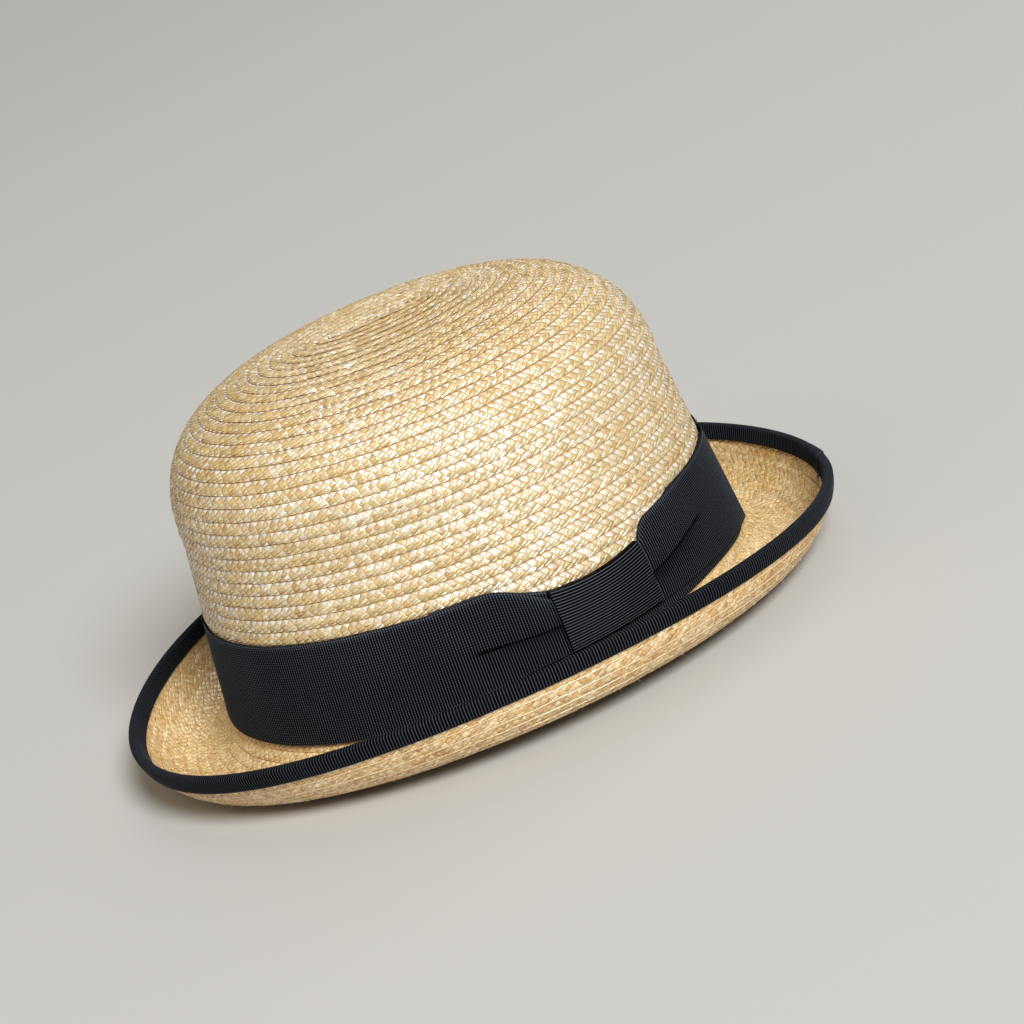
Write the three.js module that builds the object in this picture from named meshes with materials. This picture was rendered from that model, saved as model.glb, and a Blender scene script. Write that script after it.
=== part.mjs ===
// Straw bowler hat, in millimetres. +Z is up, the front is at -Y and the bow is on the wearer's left, at +X.
// The hat stands on the front and back of its brim, which touch z = 0.
import * as THREE from 'three';

// Head: the oval of the crown's outside at the head line, where crown and brim meet.
const HEAD_LENGTH = 202;
const HEAD_WIDTH = 173;

// Straw: two overlapping plaits make the wall, and each row's edge stands proud of the next row.
const STRAW_WALL = 1.8;
const ROW_PITCH = 4.6;
const ROW_STEP = 0.6;

// Crown: a slightly tapering wall under a rounded dome.
const CROWN_HEIGHT = 119.2;
const SHOULDER_HEIGHT = 67.4;
const WALL_TAPER = 8.3;
const WALL_SLANT = WALL_TAPER / SHOULDER_HEIGHT;
const DOME_POWER = 2.6;
const FIRST_ROW = 2.6;
const TIP_CAP = 1.2;
const INSIDE_ROWS = 9;

// Brim: its slope runs from the steep root through the flat to the curled edge. Angles are in degrees.
const BRIM_ROOT_ANGLE = -78;
const BRIM_ROOT_RUN = 23.3;
const BRIM_CURL_START = 18.4;
const BRIM_CURL_POWER = 0.74;
const BRIM_SECTIONS = {
  side: { width: 46.6, flat: 14.7, curl: 97.5 },
  end: { width: 53.3, flat: -21.9, curl: 78 },
};
const COLLAR_HEIGHT = 3;

// Ribbons.
const RIBBON = 1;
const BAND_HEIGHT = 38;
const BAND_FOOT = 0.5;
const BINDING_RIBBON = 0.7;
const BINDING_REACH = 5.6;
const BINDING_SWELL = 0.15;
const BINDING_ROUNDING = 0.6;

// Clearance between neighbouring pieces.
const GAP = 0.3;

// Bow: the knot's middle is a little behind the side. Angles are in degrees, from +X towards the back.
const KNOT_ANGLE = 14.5;
const KNOT_HALF = 11;
const KNOT_TOP = 28.3;
const KNOT_FLARE = 1.7;
const KNOT_FOOT = 6.8;
const KNOT_CROWNING = 0.5;
const KNOT_ROUNDING = 0.6;
const KNOT_COLUMNS = [1.5, 3.5, 5.5, 8, KNOT_HALF];

// One row for each pinched end of the band: how far its top drops at the knot and eases down before it,
// how far its foot lifts, the runs in degrees over which these fade, and the pleat's height, rise and run.
const BAND_ENDS = {
  front: {
    topDrop: 11.2, topRun: 12, topPower: 1.5, ease: 0, easeRun: 12, footLift: 6, footRun: 24,
    pleatAt: 18, pleatRise: 1.6, pleatRun: 18,
  },
  back: {
    topDrop: 7.6, topRun: 5, topPower: 2, ease: 3.6, easeRun: 22, footLift: 5.4, footRun: 46,
    pleatAt: 17, pleatRise: 5, pleatRun: 22,
  },
};
const EASE_POWER = 1.2;
const PLEAT_DEPTH = 0.6;
const PLEAT_LIP = 0.8;
const TOP_EDGE_RISE = 0.4;

// The underlay reaches farther to the back, where its foot shows under the band. Behind the knot its
// top drops out of sight.
const UNDERLAY_ENDS = {
  front: { reach: 24, topDrop: 8.4, topRun: 14, topTuck: 0, footLift: 1, footRun: 24 },
  back: { reach: 46, topDrop: 9.5, topRun: 16, topTuck: 1, footLift: 1.4, footRun: 36 },
};
const UNDERLAY_POWER = 1.1;
const UNDERLAY_RAMP = 8;
const UNDERLAY_TUCK = 3;
const UNDERLAY_TUCK_RUN = 4;
const PLEAT_COLUMNS = [1, 3, 5, 7.5, 10, 13, 16, 21, 26];

// A multiple of four, so that a flat facet lies at the front and back, where the brim rests.
const SEGMENTS = 36;
const DEGREE = Math.PI / 180;
const FULL_TURN = 360;
const COLUMN_STEP = FULL_TURN / SEGMENTS;
const COLUMNS = Array.from({ length: SEGMENTS }, (_, i) => (i + 0.5) * COLUMN_STEP);

// How finely the curves are followed when their lengths are added up.
const BRIM_STEPS = 60;
const CROWN_STEPS = 400;
const HALVINGS = 50;
const LEDGE = 0.03;

const COLOURS = { straw: 0xdcb872, ribbon: 0x14161c };

const clamp01 = (x) => Math.min(Math.max(x, 0), 1);
const mix = (a, b, t) => a + (b - a) * t;
const smooth = (x) => clamp01(x) ** 2 * (3 - 2 * clamp01(x));

// A point of an oval that lies out from the head line's oval.
function ovalPoint(out, height, degrees) {
  const angle = degrees * DEGREE;
  const x = (HEAD_WIDTH / 2 + out) * Math.cos(angle);
  const y = (HEAD_LENGTH / 2 + out) * Math.sin(angle);
  return [x, y, height];
}

// How much of the brim's end section applies at an angle; the rest is the side section.
const endShare = (degrees) => Math.sin(degrees * DEGREE) ** 2;

function brimSection(degrees) {
  const share = endShare(degrees);
  const { side, end } = BRIM_SECTIONS;
  return {
    width: mix(side.width, end.width, share),
    flat: mix(side.flat, end.flat, share),
    curl: mix(side.curl, end.curl, share),
  };
}

function brimSlope(section, run) {
  const root = (BRIM_ROOT_ANGLE - section.flat) * (1 - clamp01(run / BRIM_ROOT_RUN)) ** 2;
  const along = clamp01((run - BRIM_CURL_START) / (section.width - BRIM_CURL_START));
  const curl = (section.curl - section.flat) * along ** BRIM_CURL_POWER;
  return (section.flat + root + curl) * DEGREE;
}

// The brim's middle line at one angle: distance out, height and slope after a run from the head line.
function brimLine(degrees, run) {
  const section = brimSection(degrees);
  const step = run / BRIM_STEPS;
  let out = -STRAW_WALL / 2;
  let height = 0;
  for (let i = 0; i < BRIM_STEPS; i += 1) {
    const slope = brimSlope(section, step * (i + 0.5));
    out += Math.cos(slope) * step;
    height += Math.sin(slope) * step;
  }
  return { out, height, slope: brimSlope(section, run) };
}

// A point beside the brim's middle line: lift is towards its upper face, ahead is along it.
function besideBrim(degrees, run, lift, ahead = 0) {
  const line = brimLine(degrees, run);
  const out = line.out - Math.sin(line.slope) * lift + Math.cos(line.slope) * ahead;
  const height = line.height + Math.cos(line.slope) * lift + Math.sin(line.slope) * ahead;
  return { out, height };
}

// The row of plait that the hat stands on has both edges at one height at the front and back.
const REST_COLUMN = FULL_TURN / 4 - COLUMN_STEP / 2;
const REST_LIFT = -STRAW_WALL / 2 - ROW_STEP;

function restingRow() {
  let low = ROW_PITCH;
  let high = BRIM_SECTIONS.end.width - ROW_PITCH;
  for (let i = 0; i < HALVINGS; i += 1) {
    const middle = (low + high) / 2;
    const inner = besideBrim(REST_COLUMN, middle - ROW_PITCH / 2, REST_LIFT);
    const outer = besideBrim(REST_COLUMN, middle + ROW_PITCH / 2, REST_LIFT);
    if (outer.height > inner.height) {
      high = middle;
    } else {
      low = middle;
    }
  }
  return (low + high) / 2;
}

const REST_RUN = restingRow();
const HEAD_LINE = -besideBrim(REST_COLUMN, REST_RUN - ROW_PITCH / 2, REST_LIFT).height;

// The crown's outside, in steps down from the tip: distance out of the head oval, height, and run.
function domeSteps() {
  const dome = Array.from({ length: CROWN_STEPS + 1 }, (_, i) => {
    const turn = ((1 - i / CROWN_STEPS) * Math.PI) / 2;
    const inset = mix(WALL_TAPER, HEAD_WIDTH / 2, 1 - Math.cos(turn) ** (2 / DOME_POWER));
    const height = mix(SHOULDER_HEIGHT, CROWN_HEIGHT, Math.sin(turn) ** (2 / DOME_POWER));
    return { out: -inset, height };
  });
  const wall = Array.from({ length: CROWN_STEPS }, (_, i) => {
    const share = 1 - (i + 1) / CROWN_STEPS;
    return { out: -WALL_TAPER * share, height: SHOULDER_HEIGHT * share };
  });
  const line = [...dome, ...wall];
  line[0].run = 0;
  for (let i = 1; i < line.length; i += 1) {
    const length = Math.hypot(line[i].out - line[i - 1].out, line[i].height - line[i - 1].height);
    line[i].run = line[i - 1].run + length;
  }
  return line;
}

const DOME = domeSteps();

// A point beside the crown's outside, a run down from the tip. Lift is outward.
function besideCrown(run, lift) {
  const found = DOME.findIndex((step) => step.run >= run);
  const i = Math.min(Math.max(found, 1), DOME.length - 1);
  const before = DOME[i - 1];
  const after = DOME[i];
  const length = after.run - before.run;
  const share = (run - before.run) / length;
  const tangent = [(after.out - before.out) / length, (after.height - before.height) / length];
  const out = mix(before.out, after.out, share) - tangent[1] * lift;
  const height = mix(before.height, after.height, share) + tangent[0] * lift;
  return { out, height };
}

// Run down to a height on the crown's straight wall.
const runAtHeight = (height) => DOME.at(-1).run - height * Math.hypot(1, WALL_SLANT);

const ring = (spot) => COLUMNS.map((degrees) => {
  const { out, height } = spot(degrees);
  return ovalPoint(out, HEAD_LINE + height, degrees);
});

// Turns rows of points into triangles. Rows close on themselves where closed is set, and looped joins
// the last row to the first.
function skin(rows, { closed, looped }) {
  const count = rows[0].length;
  const points = rows.flat();
  const faces = [];
  const quad = (a, b, c, d) => faces.push([a, b, c], [a, c, d]);
  const at = (row, column) => (row % rows.length) * count + (column % count);
  const lastRow = looped ? rows.length : rows.length - 1;
  const lastColumn = closed ? count : count - 1;
  for (let row = 0; row < lastRow; row += 1) {
    for (let column = 0; column < lastColumn; column += 1) {
      quad(at(row, column), at(row, column + 1), at(row + 1, column + 1), at(row + 1, column));
    }
  }
  return { points, faces, quad, at };
}

// A cap across an oval ring, in strips from one side to the other.
function capOval(shell, row, flip) {
  const half = SEGMENTS / 2;
  for (let step = 0; step < half - 1; step += 1) {
    const right = step - half / 2;
    const wrap = (i) => (i + SEGMENTS) % SEGMENTS;
    const corners = [wrap(right), wrap(right + 1), wrap(half - 2 - right), wrap(half - 1 - right)];
    const [a, b, c, d] = corners.map((column) => shell.at(row, column));
    if (flip) {
      shell.quad(d, c, b, a);
    } else {
      shell.quad(a, b, c, d);
    }
  }
}

// End faces of a strip whose rows are lines along it, and whose first half runs back over the second.
function capStrip(shell, rowCount, columnCount) {
  for (let row = 0; row < rowCount / 2 - 1; row += 1) {
    const across = [row, row + 1, rowCount - 2 - row, rowCount - 1 - row];
    const [a, b, c, d] = across.map((r) => shell.at(r, 0));
    shell.quad(a, b, c, d);
    const [e, f, g, h] = across.map((r) => shell.at(r, columnCount - 1));
    shell.quad(h, g, f, e);
  }
}

function volume({ points, faces }) {
  return faces.reduce((sum, [a, b, c]) => {
    const [p, q, r] = [a, b, c].map((i) => new THREE.Vector3(...points[i]));
    return sum + p.dot(q.cross(r)) / 6;
  }, 0);
}

function solid(name, colour, shell) {
  const outward = volume(shell) > 0;
  const index = shell.faces.flatMap(([a, b, c]) => (outward ? [a, b, c] : [a, c, b]));
  const geometry = new THREE.BufferGeometry();
  geometry.setAttribute('position', new THREE.Float32BufferAttribute(shell.points.flat(), 3));
  geometry.setIndex(index);
  geometry.computeVertexNormals();
  const material = new THREE.MeshStandardMaterial({ color: COLOURS[colour], roughness: 0.7 });
  const mesh = new THREE.Mesh(geometry, material);
  mesh.name = name;
  return mesh;
}

// Rows of plait: each upper row laps over the one below, so its lower edge stands out.
function crown() {
  const foot = runAtHeight(COLLAR_HEIGHT + GAP / 2);
  const hidden = runAtHeight(BAND_HEIGHT - ROW_PITCH);
  const proud = ROW_STEP / 3;
  const outside = [[TIP_CAP, 0]];
  for (let run = FIRST_ROW; run < hidden; run += ROW_PITCH) {
    outside.push([run, proud], [run + LEDGE, proud - ROW_STEP]);
  }
  outside.push([hidden + ROW_PITCH, 0], [foot, 0]);
  const shoulder = runAtHeight(SHOULDER_HEIGHT);
  const inside = Array.from({ length: INSIDE_ROWS }, (_, i) => (
    [mix(shoulder, TIP_CAP, i / (INSIDE_ROWS - 1)), -STRAW_WALL]
  ));
  const line = [...outside, [foot, -STRAW_WALL], ...inside];
  const rows = line.map(([run, lift]) => ring(() => besideCrown(run, lift)));
  const shell = skin(rows, { closed: true, looped: false });
  capOval(shell, 0, true);
  capOval(shell, rows.length - 1, false);
  return solid('crown', 'straw', shell);
}

// The brim's rows lap outward on the upper face, and so inward on the lower face.
function brim() {
  const half = STRAW_WALL / 2;
  const last = BRIM_SECTIONS.end.width - BINDING_RIBBON - GAP;
  const plain = last - BINDING_REACH;
  const rowsInside = Math.floor(REST_RUN / ROW_PITCH - 1);
  const edges = [];
  for (let run = REST_RUN - ROW_PITCH * (rowsInside + 0.5); run < plain - ROW_PITCH / 2; run += ROW_PITCH) {
    edges.push(run);
  }
  const restEdge = edges.findIndex((run) => run > REST_RUN);
  const upper = [[0, half]];
  const lower = [[0, -half]];
  edges.forEach((run, i) => {
    upper.push([run, half + ROW_STEP / 2], [run + LEDGE, half - ROW_STEP / 2]);
    if (i !== restEdge) {
      lower.push([run - LEDGE, -half]);
    }
    lower.push([run, REST_LIFT]);
  });
  upper.push([plain, half], [mix(plain, last, 0.5), half], [last, half]);
  lower.push([plain, -half], [mix(plain, last, 0.5), -half], [last, -half]);
  const spread = (run, degrees) => run + clamp01((run - REST_RUN) / (last - REST_RUN))
    * (brimSection(degrees).width - BRIM_SECTIONS.end.width);
  const face = (line) => line.map(([run, lift]) => (
    ring((degrees) => besideBrim(degrees, spread(run, degrees), lift))
  ));
  const collarTop = COLLAR_HEIGHT - GAP / 2;
  const taper = collarTop * WALL_SLANT;
  const collar = [
    ring(() => ({ out: -taper - STRAW_WALL, height: collarTop - STRAW_WALL * WALL_SLANT })),
    ring(() => ({ out: -taper, height: collarTop })),
  ];
  const rows = [...collar, ...face(upper), ...face(lower.reverse())];
  return solid('brim', 'straw', skin(rows, { closed: true, looped: true }));
}

// A ribbon folded over the brim's edge, a little fuller in the middle of each face.
function binding() {
  const inside = STRAW_WALL / 2 + GAP;
  const outside = inside + BINDING_RIBBON;
  const full = outside + BINDING_SWELL;
  const edge = BINDING_RIBBON + GAP;
  const fold = outside * BINDING_ROUNDING;
  const reach = -BINDING_REACH;
  const line = [
    [reach, inside, 0], [reach, outside, 0], [reach / 2, full, 0], [0, outside, 0], [0, fold, edge],
    [0, -fold, edge], [0, -outside, 0], [reach / 2, -full, 0], [reach, -outside, 0], [reach, -inside, 0],
    [reach / 2, -inside, 0], [0, -inside, GAP], [0, inside, GAP], [reach / 2, inside, 0],
  ];
  const rows = line.map(([back, lift, ahead]) => ring((degrees) => (
    besideBrim(degrees, brimSection(degrees).width - edge + back, lift, ahead)
  )));
  return solid('brim_binding', 'ribbon', skin(rows, { closed: true, looped: true }));
}

const knotStart = KNOT_ANGLE - KNOT_HALF;
const knotEnd = KNOT_ANGLE + KNOT_HALF;

// Which pinched end an angle belongs to, and how far in degrees it lies from the knot's edge.
function fromKnot(degrees) {
  const turn = ((degrees - KNOT_ANGLE + FULL_TURN * 1.5) % FULL_TURN) - FULL_TURN / 2;
  const end = turn < 0 ? 'front' : 'back';
  return { end, away: Math.abs(turn) - KNOT_HALF };
}

// A point over the crown's wall at a height above the head line.
function overWall(degrees, height, lift) {
  const out = lift - height * WALL_SLANT;
  return ovalPoint(out, HEAD_LINE + height, degrees);
}

// Columns of the ribbons round the crown: close together by the knot, and elsewhere those of the crown.
function ribbonAngles() {
  const first = KNOT_ANGLE + KNOT_COLUMNS[0];
  const last = KNOT_ANGLE + FULL_TURN - KNOT_COLUMNS[0];
  const near = Object.keys(BAND_ENDS).flatMap((end) => {
    const { reach } = UNDERLAY_ENDS[end];
    const past = [...PLEAT_COLUMNS.filter((away) => away < reach - 1), reach, reach + UNDERLAY_RAMP];
    const aways = [...KNOT_COLUMNS, ...past.map((away) => KNOT_HALF + away)];
    return aways.map((away) => (end === 'back' ? KNOT_ANGLE + away : KNOT_ANGLE + FULL_TURN - away));
  });
  const clear = (angle) => near.every((other) => Math.abs(other - angle) > GAP);
  const coarse = COLUMNS.map((angle) => (angle < first ? angle + FULL_TURN : angle))
    .filter((angle) => angle > first && angle < last && clear(angle));
  return [...near, ...coarse].sort((a, b) => a - b);
}

const RIBBON_ANGLES = ribbonAngles();

// A strip round the crown: lines along it go up its outer face and down its inner face.
function strip(name, angles, lines) {
  const rows = lines.map((line) => angles.map((degrees) => {
    const { height, lift } = line(degrees);
    return overWall(degrees, height, lift);
  }));
  const shell = skin(rows, { closed: false, looped: true });
  capStrip(shell, rows.length, angles.length);
  return solid(name, 'ribbon', shell);
}

const fading = (away, run, power) => (1 - clamp01(away / run)) ** power;
const holding = (away, run) => 1 - clamp01(away / run) ** 3;

function bandEdges(degrees) {
  const { end, away } = fromKnot(degrees);
  const row = BAND_ENDS[end];
  const tucked = KNOT_FOOT + RIBBON + GAP * 2;
  const foot = BAND_FOOT + row.footLift * holding(away, row.footRun);
  const drop = row.topDrop * fading(away, row.topRun, row.topPower);
  const top = BAND_HEIGHT - drop - row.ease * fading(away, row.easeRun, EASE_POWER);
  const pleat = row.pleatAt + row.pleatRise * smooth(away / row.pleatRun);
  const depth = PLEAT_DEPTH * fading(away, row.pleatRun, 1);
  return { foot: away < GAP ? tucked : foot, top, pleat, depth };
}

function underlayEdges(degrees) {
  const { end, away } = fromKnot(degrees);
  const row = UNDERLAY_ENDS[end];
  const foot = BAND_FOOT + row.footLift * Math.sin(Math.PI * clamp01(away / row.footRun));
  const shown = BAND_HEIGHT - row.topTuck - row.topDrop * fading(away, row.topRun, UNDERLAY_POWER);
  const top = shown - UNDERLAY_TUCK * smooth(-away / UNDERLAY_TUCK_RUN);
  return { foot, top };
}

// The band lies on the crown, and rides over the underlay near the knot.
function bandLift(degrees) {
  const { end, away } = fromKnot(degrees);
  const past = (away - UNDERLAY_ENDS[end].reach) / UNDERLAY_RAMP;
  return GAP + (RIBBON + GAP) * (1 - smooth(past));
}

function hatBand() {
  const angles = RIBBON_ANGLES;
  const outer = (height, rise) => (degrees) => ({
    height: height(bandEdges(degrees)),
    lift: bandLift(degrees) + RIBBON + rise * bandEdges(degrees).depth,
  });
  const inner = (height) => (degrees) => ({
    height: height(bandEdges(degrees)),
    lift: bandLift(degrees),
  });
  const foot = (e) => e.foot;
  const lowQuarter = (e) => mix(e.foot, e.pleat, 0.5);
  const underPleat = (e) => e.pleat;
  const overPleat = (e) => e.pleat + LEDGE - PLEAT_LIP * (e.depth / PLEAT_DEPTH);
  const highQuarter = (e) => mix(e.pleat, e.top, 0.5);
  const top = (e) => e.top;
  const stops = [foot, lowQuarter, underPleat, overPleat, highQuarter, top];
  const rises = [0, 0, 0, 1, 1, TOP_EDGE_RISE];
  const innerStops = [foot, lowQuarter, overPleat, underPleat, highQuarter, top];
  const lines = [...stops.map((s, i) => outer(s, rises[i])), ...innerStops.map((s) => inner(s)).reverse()];
  return strip('hat_band', angles, lines);
}

function underlay() {
  const first = knotStart - UNDERLAY_ENDS.front.reach;
  const last = knotEnd + UNDERLAY_ENDS.back.reach;
  const angles = RIBBON_ANGLES.map((angle) => (angle > FULL_TURN / 2 ? angle - FULL_TURN : angle))
    .filter((angle) => angle > first - GAP && angle < last + GAP)
    .sort((a, b) => a - b);
  const line = (share, lift) => (degrees) => {
    const { foot, top } = underlayEdges(degrees);
    return { height: mix(foot, top, share), lift };
  };
  const shares = [0, 0.5, 1];
  const lines = [
    ...shares.map((share) => line(share, GAP + RIBBON)),
    ...shares.map((share) => line(share, GAP)).reverse(),
  ];
  return strip('bow_underlay', angles, lines);
}

// The knot wraps the pinched ends: a front wall whose edges turn in over the top and foot.
function knot() {
  const turns = [...KNOT_COLUMNS.map((away) => -away).reverse(), ...KNOT_COLUMNS];
  const angles = turns.map((turn) => KNOT_ANGLE + turn);
  const under = GAP + RIBBON + GAP;
  const wall = under + RIBBON + PLEAT_DEPTH + GAP + LEDGE;
  const face = wall + RIBBON;
  const top = (degrees) => KNOT_TOP + KNOT_FLARE * ((degrees - KNOT_ANGLE) / KNOT_HALF) ** 2;
  const spot = (share, inset, lift) => (degrees) => ({
    height: mix(KNOT_FOOT + inset, top(degrees) - inset, share),
    lift,
  });
  const soft = RIBBON * KNOT_ROUNDING;
  const round = RIBBON + GAP / 2;
  const lines = [
    spot(0, 0, under), spot(0, 0, face - soft), spot(0, soft, face), spot(0.5, 0, face + KNOT_CROWNING),
    spot(1, soft, face), spot(1, 0, face - soft), spot(1, 0, under),
    spot(1, RIBBON, under), spot(1, RIBBON, wall - soft), spot(1, round, wall),
    spot(0.5, 0, wall + KNOT_CROWNING), spot(0, round, wall), spot(0, RIBBON, wall - soft),
    spot(0, RIBBON, under),
  ];
  return strip('bow_knot', angles, lines);
}

const hat = new THREE.Group();
hat.name = 'straw_bowler_hat';
hat.add(crown(), brim(), binding(), underlay(), hatBand(), knot());

export default hat;
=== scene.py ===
"""A straw bowler hat: sewn plait crown and brim, ribbed band with a flat bow, and a bound edge."""

import logging
import math
from abc import ABC, abstractmethod
from dataclasses import dataclass, field
from enum import Enum
from functools import cached_property

import bpy
import numpy as np
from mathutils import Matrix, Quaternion, Vector


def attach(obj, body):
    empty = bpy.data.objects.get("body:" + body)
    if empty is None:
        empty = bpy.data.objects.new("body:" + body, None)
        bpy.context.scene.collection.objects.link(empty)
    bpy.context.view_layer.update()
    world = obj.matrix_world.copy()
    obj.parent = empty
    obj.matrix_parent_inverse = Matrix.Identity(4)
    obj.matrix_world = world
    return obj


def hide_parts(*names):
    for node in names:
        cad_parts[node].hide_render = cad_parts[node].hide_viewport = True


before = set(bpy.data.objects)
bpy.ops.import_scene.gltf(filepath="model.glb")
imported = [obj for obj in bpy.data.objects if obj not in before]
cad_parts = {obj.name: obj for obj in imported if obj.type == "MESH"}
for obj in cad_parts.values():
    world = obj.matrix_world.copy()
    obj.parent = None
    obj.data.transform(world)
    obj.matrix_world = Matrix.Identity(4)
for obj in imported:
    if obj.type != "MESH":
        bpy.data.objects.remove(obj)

Array = np.ndarray
Colour = tuple[float, float, float]
Point = tuple[float, float, float]
Range = tuple[float, float]

LOG = logging.getLogger("bowler")
MM = 0.001
TURN = 2.0 * math.pi


class Node(Enum):
    """The solids of the frame that the pieces stand for."""

    CROWN = "crown"
    BRIM = "brim"
    BINDING = "brim_binding"
    BAND = "hat_band"
    UNDERLAY = "bow_underlay"
    KNOT = "bow_knot"


class Slot(Enum):
    """The record's material slots."""

    STRAW = "straw"
    BAND = "band_ribbon"
    BINDING = "binding_ribbon"


class Side(Enum):
    """The two faces of the plait."""

    OUTER = 1
    INNER = -1


class Way(Enum):
    """The steps from a kernel's middle to its four tips: columns along the row, lines across it."""

    BEFORE = (-1, 0)
    BELOW = (0, 1)
    AFTER = (1, 0)
    ABOVE = (0, -1)


def mix(a: Array | float, b: Array | float, share: Array | float) -> Array | float:
    """Goes from a to b as share goes from 0 to 1."""
    return a + (b - a) * share


def clamp01(x: Array | float) -> Array:
    """Holds a value between 0 and 1."""
    return np.clip(x, 0.0, 1.0)


def smooth(x: Array | float) -> Array:
    """Eases from 0 to 1 with level ends."""
    held = clamp01(x)
    return held * held * (3.0 - 2.0 * held)


def ripple(along: Array, waves: tuple[float, ...], seed: int) -> Array:
    """A slow, aperiodic wobble between about -1 and 1.

    Args:
        along: Positions in millimetres.
        waves: Wavelengths in millimetres.
        seed: Number that fixes the phases.

    Returns:
        The wobble at each position.
    """
    phases = np.random.default_rng(seed).uniform(0.0, TURN, len(waves))
    parts = [np.sin(along * TURN / wave + phase) for wave, phase in zip(waves, phases)]
    return np.sum(parts, axis=0) / len(waves)


def distances(points: Array) -> Array:
    """Distance of each point along a line of points, from the first one."""
    return np.concatenate([[0.0], np.cumsum(np.linalg.norm(np.diff(points, axis=0), axis=1))])


def strip_corners(here: Array, there: Array, flipped: bool = False) -> Array:
    """Joins two lines of values into four-sided faces.

    Args:
        here: Values along the first line.
        there: Values along the second line.
        flipped: Whether the faces look the other way.

    Returns:
        The values at the corners, one row for each face.
    """
    corners = np.stack([here[:-1], here[1:], there[1:], there[:-1]], axis=1)
    return corners[:, [0, 3, 2, 1]] if flipped else corners


def direction(azimuth: float, elevation: float) -> Vector:
    """The direction from the hat to a light or a camera, from angles in degrees."""
    a, e = math.radians(azimuth), math.radians(elevation)
    return Vector((math.sin(a) * math.cos(e), -math.cos(a) * math.cos(e), math.sin(e)))


@dataclass(frozen=True)
class BrimSection:
    """The brim's cut at one place: its width, and its slopes in degrees."""

    width: float
    flat: float
    curl: float


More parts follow.
